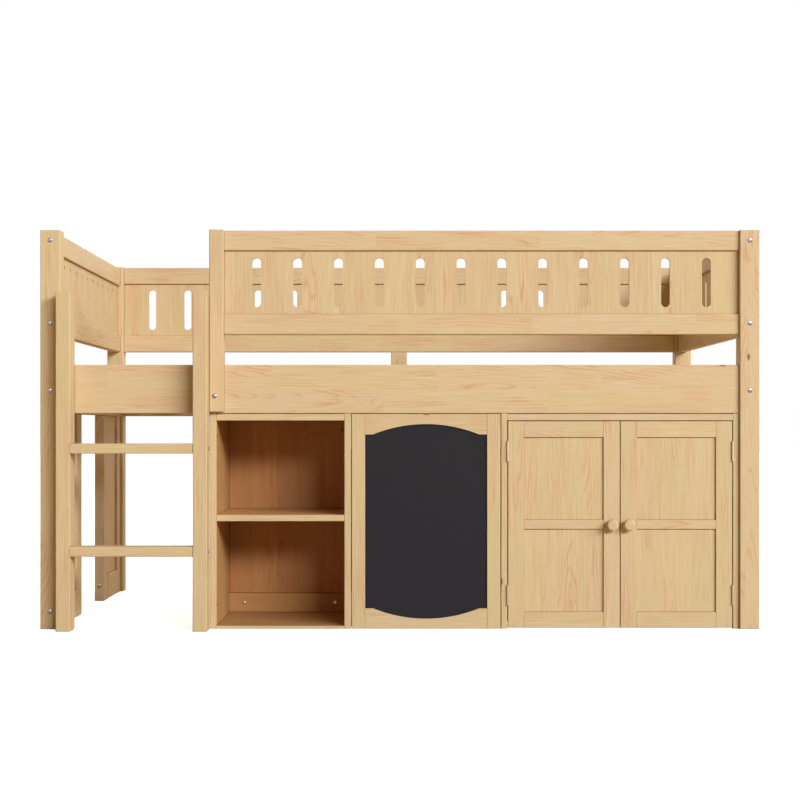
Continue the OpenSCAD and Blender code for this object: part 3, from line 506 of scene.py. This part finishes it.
FINISH.update({
    "ladder_rail_left": ("z", "x", 1, WHOLE),
    "ladder_rail_right": ("z", "x", 1, WHOLE),
    "ladder_rungs": ("x", "z", 2, WHOLE),
    "leg_frame_stiles": ("z", "y", 6, WHOLE),
    "leg_frame_rails": ("y", "z", 3, LEG_JOINED),
    "leg_frame_panels": ("z", "y", 10, WHOLE),
    "bookcase_sides": ("z", "y", 5, WHOLE),
    "bookcase_top": ("x", "y", 5, WHOLE),
    "bookcase_shelf": ("x", "y", 5, WHOLE),
    "bookcase_floor": ("x", "y", 5, WHOLE),
    "bookcase_back": ("z", "x", 5, WHOLE),
    "bookcase_back_rail": ("x", "z", 1, WHOLE),
    "blackboard_stiles": ("z", "x", 2, WHOLE),
    "blackboard_rails": ("x", "z", 3, WHOLE),
    "blackboard_battens": ("z", "x", 2, WHOLE),
    "cabinet_sides": ("z", "y", 5, WHOLE),
    "cabinet_top": ("x", "y", 5, WHOLE),
    "cabinet_floor": ("x", "y", 5, WHOLE),
    "cabinet_shelf": ("x", "y", 5, WHOLE),
    "cabinet_back": ("z", "x", 8, WHOLE),
})
for door in ("door_left", "door_right"):
    FINISH[f"{door}_stiles"] = ("z", "x", 2, WHOLE)
    FINISH[f"{door}_rails"] = ("x", "z", 5, WHOLE)
    FINISH[f"{door}_panels"] = ("z", "x", 3, PANEL_SPLIT)
    FINISH[f"{door}_knob"] = ("y", "x", 1, WHOLE)

UNLACQUERED = ("slats", "slat_cleats", "cabinet_back", "cabinet_floor", "cabinet_shelf",
               "blackboard_battens")
# Painted shade: the bookcase's inner faces get a darker, warmer colour, as if in the shade inside
# it.
INSIDE_PAINTED_SHADE = {"bookcase_back": "E2B99A", "bookcase_sides": "ECCFAC",
               "bookcase_floor": "E4CAAB", "bookcase_top": "E4CAAB",
               "bookcase_shelf": "FFE4C6", "bookcase_back_rail": "DEB99A"}
NO_PAINTED_SHADE = "FFFFFF"
FRONT_EDGE = 2.0 * MM    # how far the front edge of the bookcase, without painted shade, reaches inwards
EDGE_MARGIN = 0.3 * MM   # keeps a face that lies on a border from flickering
DARKEST_STAVE = {"bookcase_back": 0.82, "bookcase_sides": 0.90, "front_guard_panel": 0.95,
                 "back_guard_panel": 0.95, "left_end_panel": 0.95, "right_end_panel": 0.95}
DARKEST_ELSEWHERE = 0.965   # of the wood's colour, for the darkest stave of a board
DARKEST_IN_RAILS = 0.98
# Painted shade: corners and gaps are darkened towards brown.
PAINTED_SHADE_REACH = 2.6               # mm, how far the painted shade reaches out of a corner or a gap
PAINTED_SHADE_SPAN = (0.48, 0.95) # openness, from the full line of painted shade to wood without it
PAINTED_SHADE_DARK = 0.70
PAINTED_SHADE_COLOUR = "4E2D12"
PAINTED_SHADE_SAMPLES = 8
GRAIN_BUMP = 0.35
GRAIN_DEPTH = 0.12 * MM
PINE_IOR = 1.5
LACQUER_SHINE = 0.14     # thin matt lacquer
BARE_SHINE = 0.06
SEED_STEP = 7.31


def painted_inside_shade(tree, place, shade_colour):
    """Painted shade inside the bookcase in the given colour, and none on its front edges, outer and
    rear faces.
    """
    low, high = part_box("bookcase_shelf")
    here = add(tree, "ShaderNodeSeparateXYZ", {0: place.outputs["Object"]})
    between = add(tree, "ShaderNodeMath", {0: here.outputs[0], 1: (low[0] + high[0]) / 2,
                                           2: (high[0] - low[0]) / 2 + EDGE_MARGIN},
                  operation="COMPARE")
    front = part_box("bookcase_sides")[0][1] + FRONT_EDGE
    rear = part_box("bookcase_back")[0][1] + EDGE_MARGIN
    behind = add(tree, "ShaderNodeMath", {0: here.outputs[1], 1: (front + rear) / 2,
                                          2: (rear - front) / 2}, operation="COMPARE")
    inside = add(tree, "ShaderNodeMath", {0: between.outputs[0], 1: behind.outputs[0]},
                 operation="MULTIPLY")
    mixed = add(tree, "ShaderNodeMix", {0: inside.outputs[0], 6: linear(NO_PAINTED_SHADE),
                                        7: linear(shade_colour)}, data_type="RGBA")
    return mixed.outputs[2]


def wood_material(name, seed):
    """Pine for one node, with the pattern measured in mm from the node's lowest corner."""
    grain, side, staves, length = FINISH[name]
    low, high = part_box(name)
    axes = {"x": 0, "y": 1, "z": 2}
    material, tree = new_material(f"pine_{name}")
    place = add(tree, "ShaderNodeTexCoord")
    start = [-(v - EDGE_MARGIN) / MM for v in low]
    scaled = add(tree, "ShaderNodeMapping", {"Vector": place.outputs["Object"], "Location": start,
                                             "Scale": (1 / MM,) * 3})
    parts = add(tree, "ShaderNodeSeparateXYZ", {0: scaled.outputs[0]})
    third = ({"x", "y", "z"} - {grain, side}).pop()
    turned = add(tree, "ShaderNodeCombineXYZ", {0: parts.outputs[axes[grain]],
                                                1: parts.outputs[axes[side]],
                                                2: parts.outputs[axes[third]]})
    span = high[axes[side]] - low[axes[side]] + 2 * EDGE_MARGIN
    wood = add(tree, "ShaderNodeGroup", node_tree=figure)
    tree.links.new(turned.outputs[0], wood.inputs["Board"])
    wood.inputs["Stave width"].default_value = span / MM / staves
    wood.inputs["Stave length"].default_value = length
    wood.inputs["Stagger"].default_value = 0.0 if length == PANEL_SPLIT else 1.0
    usual = DARKEST_IN_RAILS if length == JOINED else DARKEST_ELSEWHERE
    wood.inputs["Darkest stave"].default_value = DARKEST_STAVE.get(name, usual)
    wood.inputs["Painted shade"].default_value = linear(NO_PAINTED_SHADE)
    # Inside the bookcase the wood's colour gets painted shade.
    if name in INSIDE_PAINTED_SHADE:
        tree.links.new(painted_inside_shade(tree, place, INSIDE_PAINTED_SHADE[name]), wood.inputs["Painted shade"])
    wood.inputs["Seed"].default_value = seed
    raised = add(tree, "ShaderNodeBump", {"Height": wood.outputs["Height"],
                                          "Strength": GRAIN_BUMP, "Distance": GRAIN_DEPTH})
    # Painted shade: the less of its surroundings is open, the more the wood's colour is mixed
    # towards dark brown.
    corner_openness = add(tree, "ShaderNodeAmbientOcclusion", {"Distance": PAINTED_SHADE_REACH * MM}, samples=PAINTED_SHADE_SAMPLES)
    painted_shade = add(tree, "ShaderNodeMapRange", {"Value": corner_openness.outputs["AO"],
                                            "From Min": PAINTED_SHADE_SPAN[0], "From Max": PAINTED_SHADE_SPAN[1],
                                            "To Min": PAINTED_SHADE_DARK, "To Max": 0.0})
    shaded_colour = add(tree, "ShaderNodeMix", {0: painted_shade.outputs[0], 6: wood.outputs["Colour"],
                                       7: linear(PAINTED_SHADE_COLOUR)}, data_type="RGBA")
    skin = add(tree, "ShaderNodeBsdfPrincipled", {"Base Color": shaded_colour.outputs[2],
                                                  "Roughness": wood.outputs["Roughness"],
                                                  "Normal": raised.outputs[0]})
    skin.inputs["IOR"].default_value = PINE_IOR
    skin.inputs["Specular IOR Level"].default_value = (BARE_SHINE if name in UNLACQUERED
                                                       else LACQUER_SHINE)
    add(tree, "ShaderNodeOutputMaterial", {"Surface": skin.outputs[0]})
    return material


def dress(node, material):
    """Gives the node this material in all its slots."""
    if not nodes[node].material_slots:
        nodes[node].data.materials.append(material)
    for one in nodes[node].material_slots:
        one.material = material


for count, name in enumerate(FINISH):
    dress(name, wood_material(name, count * SEED_STEP))
print(len(FINISH), "boards dressed")

# %% [markdown]
# ## Blackboard paint
#
# The board is a thin fibreboard, rolled with matt blackboard paint. Such paint is a very dark
# grey, not black, scatters light evenly, and keeps a faint haze of chalk that was wiped off. The
# roller leaves a fine orange-peel texture about a millimetre across. It could be modelled, but it
# is far too fine for that, so it is bump only.

# %% Blackboard
BOARD_PAINT = "212024"
BOARD_HAZE = "272629"
WIPE = (160, 60)           # mm, how long and how high the wiped streaks are
WIPE_SPAN = (0.35, 0.75)   # of their noise, from plain paint to haze
PEEL = 0.9                 # bumps in each mm
PEEL_BUMP = 0.3
PEEL_DEPTH = 0.1 * MM
PAINT_ROUGH = (0.72, 0.86) # from plain paint to haze
PAINT_IOR = 1.45
PAINT_SHINE = 0.25

material, tree = new_material("rolled_blackboard_paint")
place = add(tree, "ShaderNodeTexCoord")
scaled = add(tree, "ShaderNodeMapping", {"Vector": place.outputs["Object"],
                                         "Scale": (1 / MM,) * 3})
wiped = add(tree, "ShaderNodeVectorMath", {0: scaled.outputs[0], 1: stretch(*WIPE)},
            operation="MULTIPLY")
wiped = add(tree, "ShaderNodeTexNoise", {"Vector": wiped.outputs[0], "Scale": 1.0, "Detail": 5.0})
haze = add(tree, "ShaderNodeMapRange", {"Value": wiped.outputs["Fac"], "From Min": WIPE_SPAN[0],
                                        "From Max": WIPE_SPAN[1]})
colour = add(tree, "ShaderNodeMix", {0: haze.outputs[0], 6: linear(BOARD_PAINT),
                                     7: linear(BOARD_HAZE)}, data_type="RGBA")
peel = add(tree, "ShaderNodeTexNoise", {"Vector": scaled.outputs[0], "Scale": PEEL,
                                        "Detail": 2.0})
raised = add(tree, "ShaderNodeBump", {"Height": peel.outputs["Fac"], "Strength": PEEL_BUMP,
                                      "Distance": PEEL_DEPTH})
dull = add(tree, "ShaderNodeMapRange", {"Value": haze.outputs[0], "To Min": PAINT_ROUGH[0],
                                        "To Max": PAINT_ROUGH[1]})
skin = add(tree, "ShaderNodeBsdfPrincipled", {"Base Color": colour.outputs[2],
                                              "Roughness": dull.outputs[0],
                                              "Normal": raised.outputs[0]})
skin.inputs["IOR"].default_value = PAINT_IOR
skin.inputs["Specular IOR Level"].default_value = PAINT_SHINE
add(tree, "ShaderNodeOutputMaterial", {"Surface": skin.outputs[0]})
dress("blackboard", material)
print("blackboard painted")

# %% [markdown]
# ## Metal
#
# The bolts and barrel nuts are steel with bright zinc plating: turned, tumbled and dipped, so they
# are bright with a fine haze. The hinges are rolled steel sheet with a satin nickel plating, which
# is warmer and softer. Flat grey paint would look the same from afar, but only a metal mirrors the
# room, so both are metals here, whose colour is the reflection's tint.

# %% Bolts, nuts and hinges
ZINC = "BDBABF"
ZINC_DULL = "9A979B"
NICKEL = "D9C6B2"
NICKEL_DULL = "BFA892"
MOTTLE = 0.45                # spots in each mm
MOTTLE_SPAN = (0.3, 0.7)     # of its noise, from bright to dull
MOTTLE_BUMP = 0.2
MOTTLE_DEPTH = 0.05 * MM
ZINC_ROUGH = (0.14, 0.26)
NICKEL_ROUGH = (0.38, 0.52)


def plated(name, bright, dull, roughness):
    """Plated steel with a fine mottle of about two millimetres, in both colour and roughness."""
    material, tree = new_material(name)
    place = add(tree, "ShaderNodeTexCoord")
    scaled = add(tree, "ShaderNodeMapping", {"Vector": place.outputs["Object"],
                                             "Scale": (1 / MM,) * 3})
    mottle = add(tree, "ShaderNodeTexNoise", {"Vector": scaled.outputs[0], "Scale": MOTTLE,
                                              "Detail": 4.0})
    colour = add(tree, "ShaderNodeMix", {0: mottle.outputs["Fac"], 6: linear(bright),
                                         7: linear(dull)}, data_type="RGBA")
    rough = add(tree, "ShaderNodeMapRange", {"Value": mottle.outputs["Fac"],
                                             "From Min": MOTTLE_SPAN[0],
                                             "From Max": MOTTLE_SPAN[1],
                                             "To Min": roughness[0], "To Max": roughness[1]})
    raised = add(tree, "ShaderNodeBump", {"Height": mottle.outputs["Fac"],
                                          "Strength": MOTTLE_BUMP, "Distance": MOTTLE_DEPTH})
    skin = add(tree, "ShaderNodeBsdfPrincipled", {"Base Color": colour.outputs[2],
                                                  "Roughness": rough.outputs[0],
                                                  "Normal": raised.outputs[0]})
    skin.inputs["Metallic"].default_value = 1.0
    add(tree, "ShaderNodeOutputMaterial", {"Surface": skin.outputs[0]})
    return material


zinc = plated("zinc_plated_steel", ZINC, ZINC_DULL, ZINC_ROUGH)
nickel = plated("satin_nickel_hinge", NICKEL, NICKEL_DULL, NICKEL_ROUGH)
for name in ("frame_bolts", "barrel_nuts"):
    dress(name, zinc)
for name in ("cabinet_hinge_leaves", "hinge_pins", "door_left_hardware", "door_right_hardware"):
    dress(name, nickel)
print("metal dressed")

# %% [markdown]
# ## Button-head bolts
#
# Where a rail meets a post, the round head of a bolt shows. The solids have flat cylinders for
# them. Real ones are cold-forged: a low dome with a hexagon socket. A squashed sphere would be
# near, but a lathe gives the shape exactly, and Blender's spin is a lathe: a profile of points, as
# radius and height, turned once round the Z axis. The places, lengths and directions are read from
# the bolts' own solids, so that every head stays on its post.

# %% Turned shapes
TURN_STEPS = 24
WELD = 0.001 * MM        # points closer than this are one
SOCKET_RIM = 0.15 * MM   # from the flat top's edge to the socket, before it is pulled into shape
SHARP_EDGE = 30          # degrees between two faces, from which their edge stays sharp


def turned(profile):
    """A closed mesh turned from (radius, height) points in mm, with flat ends."""
    shape = bmesh.new()
    points = [shape.verts.new((radius * MM, 0, height * MM)) for radius, height in profile]
    edges = [shape.edges.new(pair) for pair in zip(points, points[1:])]
    bmesh.ops.spin(shape, geom=points + edges, axis=(0, 0, 1), cent=(0, 0, 0), angle=math.tau,
                   steps=TURN_STEPS, use_merge=True)
    bmesh.ops.remove_doubles(shape, verts=shape.verts, dist=WELD)
    rims = [edge for edge in shape.edges if edge.is_boundary]
    bmesh.ops.holes_fill(shape, edges=rims, sides=0)
    bmesh.ops.recalc_face_normals(shape, faces=shape.faces)
    return shape


def recess(shape, outline, depth):
    """Pulls the flat top's rim to an outline, a radius in mm for each angle, and sinks it."""
    top = max(shape.faces, key=lambda face: face.calc_center_median().z)
    bmesh.ops.inset_region(shape, faces=[top], thickness=SOCKET_RIM, depth=0)
    for vert in top.verts:
        angle = math.atan2(vert.co.y, vert.co.x)
        reach = outline(angle) * MM
        vert.co.x, vert.co.y = reach * math.cos(angle), reach * math.sin(angle)
    sunk = bmesh.ops.extrude_discrete_faces(shape, faces=[top])["faces"][0]
    bmesh.ops.translate(shape, verts=sunk.verts, vec=(0, 0, -depth * MM))


def finished(name, shape, material, body):
    """The mesh as an object that rides on a body, smooth but for its sharp edges."""
    mesh = bpy.data.meshes.new(name)
    shape.to_mesh(mesh)
    shape.free()
    mesh.shade_smooth()
    mesh.set_sharp_from_angle(angle=math.radians(SHARP_EDGE))
    mesh.materials.append(material)
    piece = bpy.data.objects.new(name, mesh)
    bpy.context.scene.collection.objects.link(piece)
    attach(piece, body)
    return piece


def placed(target, source, place, direction):
    """Adds a copy of a turned shape to the target mesh, its Z axis along the direction."""
    copy = bpy.data.meshes.new("copy")
    source.to_mesh(copy)
    turn = Vector(direction).to_track_quat("Z", "Y").to_matrix().to_4x4()
    copy.transform(Matrix.Translation(place) @ turn)
    target.from_mesh(copy)
    bpy.data.meshes.remove(copy)


print("a turned shape has", TURN_STEPS, "sides")

# %% Bolts
HEAD_RADIUS = 6.5        # mm, as all sizes of bolts and screws here
HEAD_HEIGHT = 2.0
HEAD_SHARE = 0.9         # corners further out than this share of the radius belong to the head
SHANK_CHAMFER = 0.6
SOCKET_HALF = 2.2        # half the width over the socket's flats
SOCKET_DEPTH = 1.2
BOLT_HEAD = [(HEAD_RADIUS, 0.0), (HEAD_RADIUS, 0.35), (6.25, 0.85), (5.6, 1.35), (4.6, 1.75),
             (3.6, 1.95), (3.1, HEAD_HEIGHT)]


def hexagon(angle):
    """Radius of the hexagon socket at an angle."""
    sixth = math.tau / 6
    return SOCKET_HALF / math.cos((angle % sixth) - sixth / 2)


def solids_of(node):
    """The separate solids in a node's mesh, each as its list of corners."""
    shape = bmesh.new()
    shape.from_mesh(nodes[node].data)
    bmesh.ops.remove_doubles(shape, verts=shape.verts, dist=WELD)
    found, left = [], set(shape.verts)
    while left:
        grown, front = set(), [left.pop()]
        while front:
            vert = front.pop()
            grown.add(vert)
            near = [edge.other_vert(vert) for edge in vert.link_edges]
            front += [other for other in near if other in left]
            left.difference_update(near)
        found.append([vert.co.copy() for vert in grown])
    shape.free()
    return found


def extent(corners):
    """The lowest and highest corner of a box round some points."""
    return (Vector([min(c[i] for c in corners) for i in range(3)]),
            Vector([max(c[i] for c in corners) for i in range(3)]))


def from_axis(corner, centre, axis):
    """How far a corner is from the line through the centre along an axis, in mm."""
    return math.hypot(*[corner[i] - centre[i] for i in range(3) if i != axis]) / MM


bolts = bmesh.new()
bolt_solids = solids_of("frame_bolts")
for corners in bolt_solids:
    low, high = extent(corners)
    axis = max(range(3), key=lambda i: high[i] - low[i])
    centre = (low + high) / 2
    head = [c[axis] for c in corners
            if from_axis(c, centre, axis) > HEAD_SHARE * HEAD_RADIUS]
    outward = 1 if sum(head) / len(head) > centre[axis] else -1
    shank = (high[axis] - low[axis]) / MM - HEAD_HEIGHT
    radius = min(from_axis(c, centre, axis) for c in corners
                 if (c[axis] - centre[axis]) * outward < 0)
    seat = centre.copy()
    seat[axis] = (high[axis] if outward > 0 else low[axis]) - outward * HEAD_HEIGHT * MM
    way = [0, 0, 0]
    way[axis] = outward
    one = turned([(radius - SHANK_CHAMFER, -shank), (radius, -shank + SHANK_CHAMFER),
                  (radius, 0.0)] + BOLT_HEAD)
    recess(one, hexagon, SOCKET_DEPTH)
    placed(bolts, one, seat, way)
    one.free()
piece = finished("button_bolts", bolts, zinc, "bed")
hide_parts("frame_bolts")
print(len(bolt_solids), "bolts turned,", len(piece.data.polygons), "faces")

# %% [markdown]
# ## Wood screws
#
# Two pan-head screws hold the rail at the foot of the bookcase's back, and two small dark ones
# show inside its left side. The cross recess could be cut with a boolean, but here it is the flat
# top's rim, pulled to a plus and sunk, which is quicker and leaves a clean closed mesh.
# Countersunk screws hold the slats to their cleats, and each hinge leaf to its wood. A cone under
# the head sits in the leaf, so that the head is flush and the two leaves can close. Each leaf's
# screws ride on the body that the leaf belongs to.

# %% Screws
PAN_HEAD = [(4.6, 0.0), (5.0, 0.5), (5.0, 1.2), (4.6, 1.9), (3.8, 2.3), (3.2, 2.4)]
SMALL_HEAD = [(3.0, 0.0), (3.3, 0.3), (3.3, 0.7), (3.05, 1.0), (2.8, 1.1)]
PAN_CROSS = (2.6, 0.62, 1.3)    # each arm's reach, half its width, and the recess's depth
SMALL_CROSS = (2.0, 0.5, 0.6)
PAN_XS = (-467.0, -193.5)
PAN_Z = 37.0
SMALL_ZS = (66.0, 540.0)
SMALL_IN = 9.0                  # from the front edge of the side
LEAST_SINE = 0.01               # no division by nothing in the middle of an arm
BROWNED = "5A4A3C"
BROWNED_DULL = "3A2E26"
BROWNED_ROUGH = (0.35, 0.50)


def cross_recess(shape, reach, half_width, depth):
    """Sinks a cross into a turned head's flat top."""
    quarter = math.tau / 4

    def plus(angle):
        away = abs((angle + quarter / 2) % quarter - quarter / 2)
        return min(reach, half_width / max(math.sin(away), LEAST_SINE))

    recess(shape, plus, depth)


rail_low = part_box("bookcase_back_rail")[0]
side_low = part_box("bookcase_sides")[0]
pans = bmesh.new()
pan = turned(PAN_HEAD)
cross_recess(pan, *PAN_CROSS)
for x in PAN_XS:
    placed(pans, pan, (x * MM, rail_low[1], PAN_Z * MM), (0, -1, 0))
pan.free()
finished("bookcase_rail_screws", pans, nickel, "bed")
smalls = bmesh.new()
small = turned(SMALL_HEAD)
cross_recess(small, *SMALL_CROSS)
for z in SMALL_ZS:
    placed(smalls, small, (rail_low[0], side_low[1] + SMALL_IN * MM, z * MM), (1, 0, 0))
small.free()
finished("bookcase_side_screws", smalls,
         plated("browned_steel", BROWNED, BROWNED_DULL, BROWNED_ROUGH), "bed")
print("rail face at y", round(rail_low[1], 4), "side face at x", round(rail_low[0], 4))

# %% Countersunk screws
HINGE_SCREW = [(0.4, -14.0), (1.4, -12.0), (1.4, -1.8), (2.9, 0.0), (2.9, 0.08)]
HINGE_CROSS = (1.9, 0.42, 0.7)
SLAT_SCREW = [(0.5, -24.0), (1.9, -21.0), (1.9, -2.4), (3.9, 0.0), (3.9, 0.1)]
SLAT_CROSS = (2.5, 0.55, 1.0)
LEAF_HEIGHT = 50.0                # a door's hardware that is lower is its strike plate
SCREW_ROWS = (0.18, 0.5, 0.82)    # of a leaf's height
SCREW_BACK = 7.0                  # from a leaf's rear edge
SCREW_STAGGER = 3.0               # the middle screw stands this much further from it
SLAT_END = 11.0                   # from a slat's end

hinge_screw = turned(HINGE_SCREW)
cross_recess(hinge_screw, *HINGE_CROSS)
for node, body in (("cabinet_hinge_leaves", "bed"), ("door_left_hardware", "door_left"),
                   ("door_right_hardware", "door_right")):
    screws = bmesh.new()
    for corners in solids_of(node):
        low, high = extent(corners)
        if high.z - low.z < LEAF_HEIGHT * MM:
            continue
        pin_x = (low.x + high.x) / 2
        sheet = sorted({c.x for c in corners if c.y > high.y - MM},
                       key=lambda x: abs(x - pin_x))
        facing = 1 if sheet[0] > sheet[-1] else -1
        for count, part in enumerate(SCREW_ROWS):
            y = high.y - (SCREW_BACK + SCREW_STAGGER * (count % 2)) * MM
            z = low.z + part * (high.z - low.z)
            placed(screws, hinge_screw, (sheet[0], y, z), (facing, 0, 0))
    finished(f"{node}_screws", screws, nickel, body)
hinge_screw.free()

slat_screw = turned(SLAT_SCREW)
cross_recess(slat_screw, *SLAT_CROSS)
screws = bmesh.new()
for corners in solids_of("slats"):
    low, high = extent(corners)
    for y in (low.y + SLAT_END * MM, high.y - SLAT_END * MM):
        placed(screws, slat_screw, ((low.x + high.x) / 2, y, high.z), (0, 0, 1))
slat_screw.free()
finished("slat_screws", screws, zinc, "bed")
print("countersunk screws placed")

# %% [markdown]
# ## Catch
#
# The magnet catch is moulded white plastic. It has a slightly grained skin and a soft sheen, and
# it is seen only when the doors are open. One flat colour would do at this size, but a faint grit
# costs nothing and keeps the plastic from looking like paper.

# %% Catch
CATCH_WHITE = "E4E3DE"
CATCH_SHADE = "DCDAD4"
CATCH_GRIT = 1.2              # grains in each mm
CATCH_ROUGH = (0.34, 0.46)
CATCH_BUMP = 0.15
CATCH_DEPTH = 0.05 * MM

material, tree = new_material("moulded_white_abs")
place = add(tree, "ShaderNodeTexCoord")
scaled = add(tree, "ShaderNodeMapping", {"Vector": place.outputs["Object"],
                                         "Scale": (1 / MM,) * 3})
grit = add(tree, "ShaderNodeTexNoise", {"Vector": scaled.outputs[0], "Scale": CATCH_GRIT,
                                        "Detail": 3.0})
colour = add(tree, "ShaderNodeMix", {0: grit.outputs["Fac"], 6: linear(CATCH_WHITE),
                                     7: linear(CATCH_SHADE)}, data_type="RGBA")
raised = add(tree, "ShaderNodeBump", {"Height": grit.outputs["Fac"], "Strength": CATCH_BUMP,
                                      "Distance": CATCH_DEPTH})
rough = add(tree, "ShaderNodeMapRange", {"Value": grit.outputs["Fac"], "To Min": CATCH_ROUGH[0],
                                         "To Max": CATCH_ROUGH[1]})
skin = add(tree, "ShaderNodeBsdfPrincipled", {"Base Color": colour.outputs[2],
                                              "Roughness": rough.outputs[0],
                                              "Normal": raised.outputs[0]})
add(tree, "ShaderNodeOutputMaterial", {"Surface": skin.outputs[0]})
dress("magnet_catch", material)
print("catch dressed")

# %% [markdown]
# ## Colour management
#
# A photo's colours come straight from its camera, so the Standard view transform is kept, which
# shows a colour as it was written, where a filmic one would wash out the pale wood.

# %% Colour management
bpy.context.scene.view_settings.view_transform = "Standard"
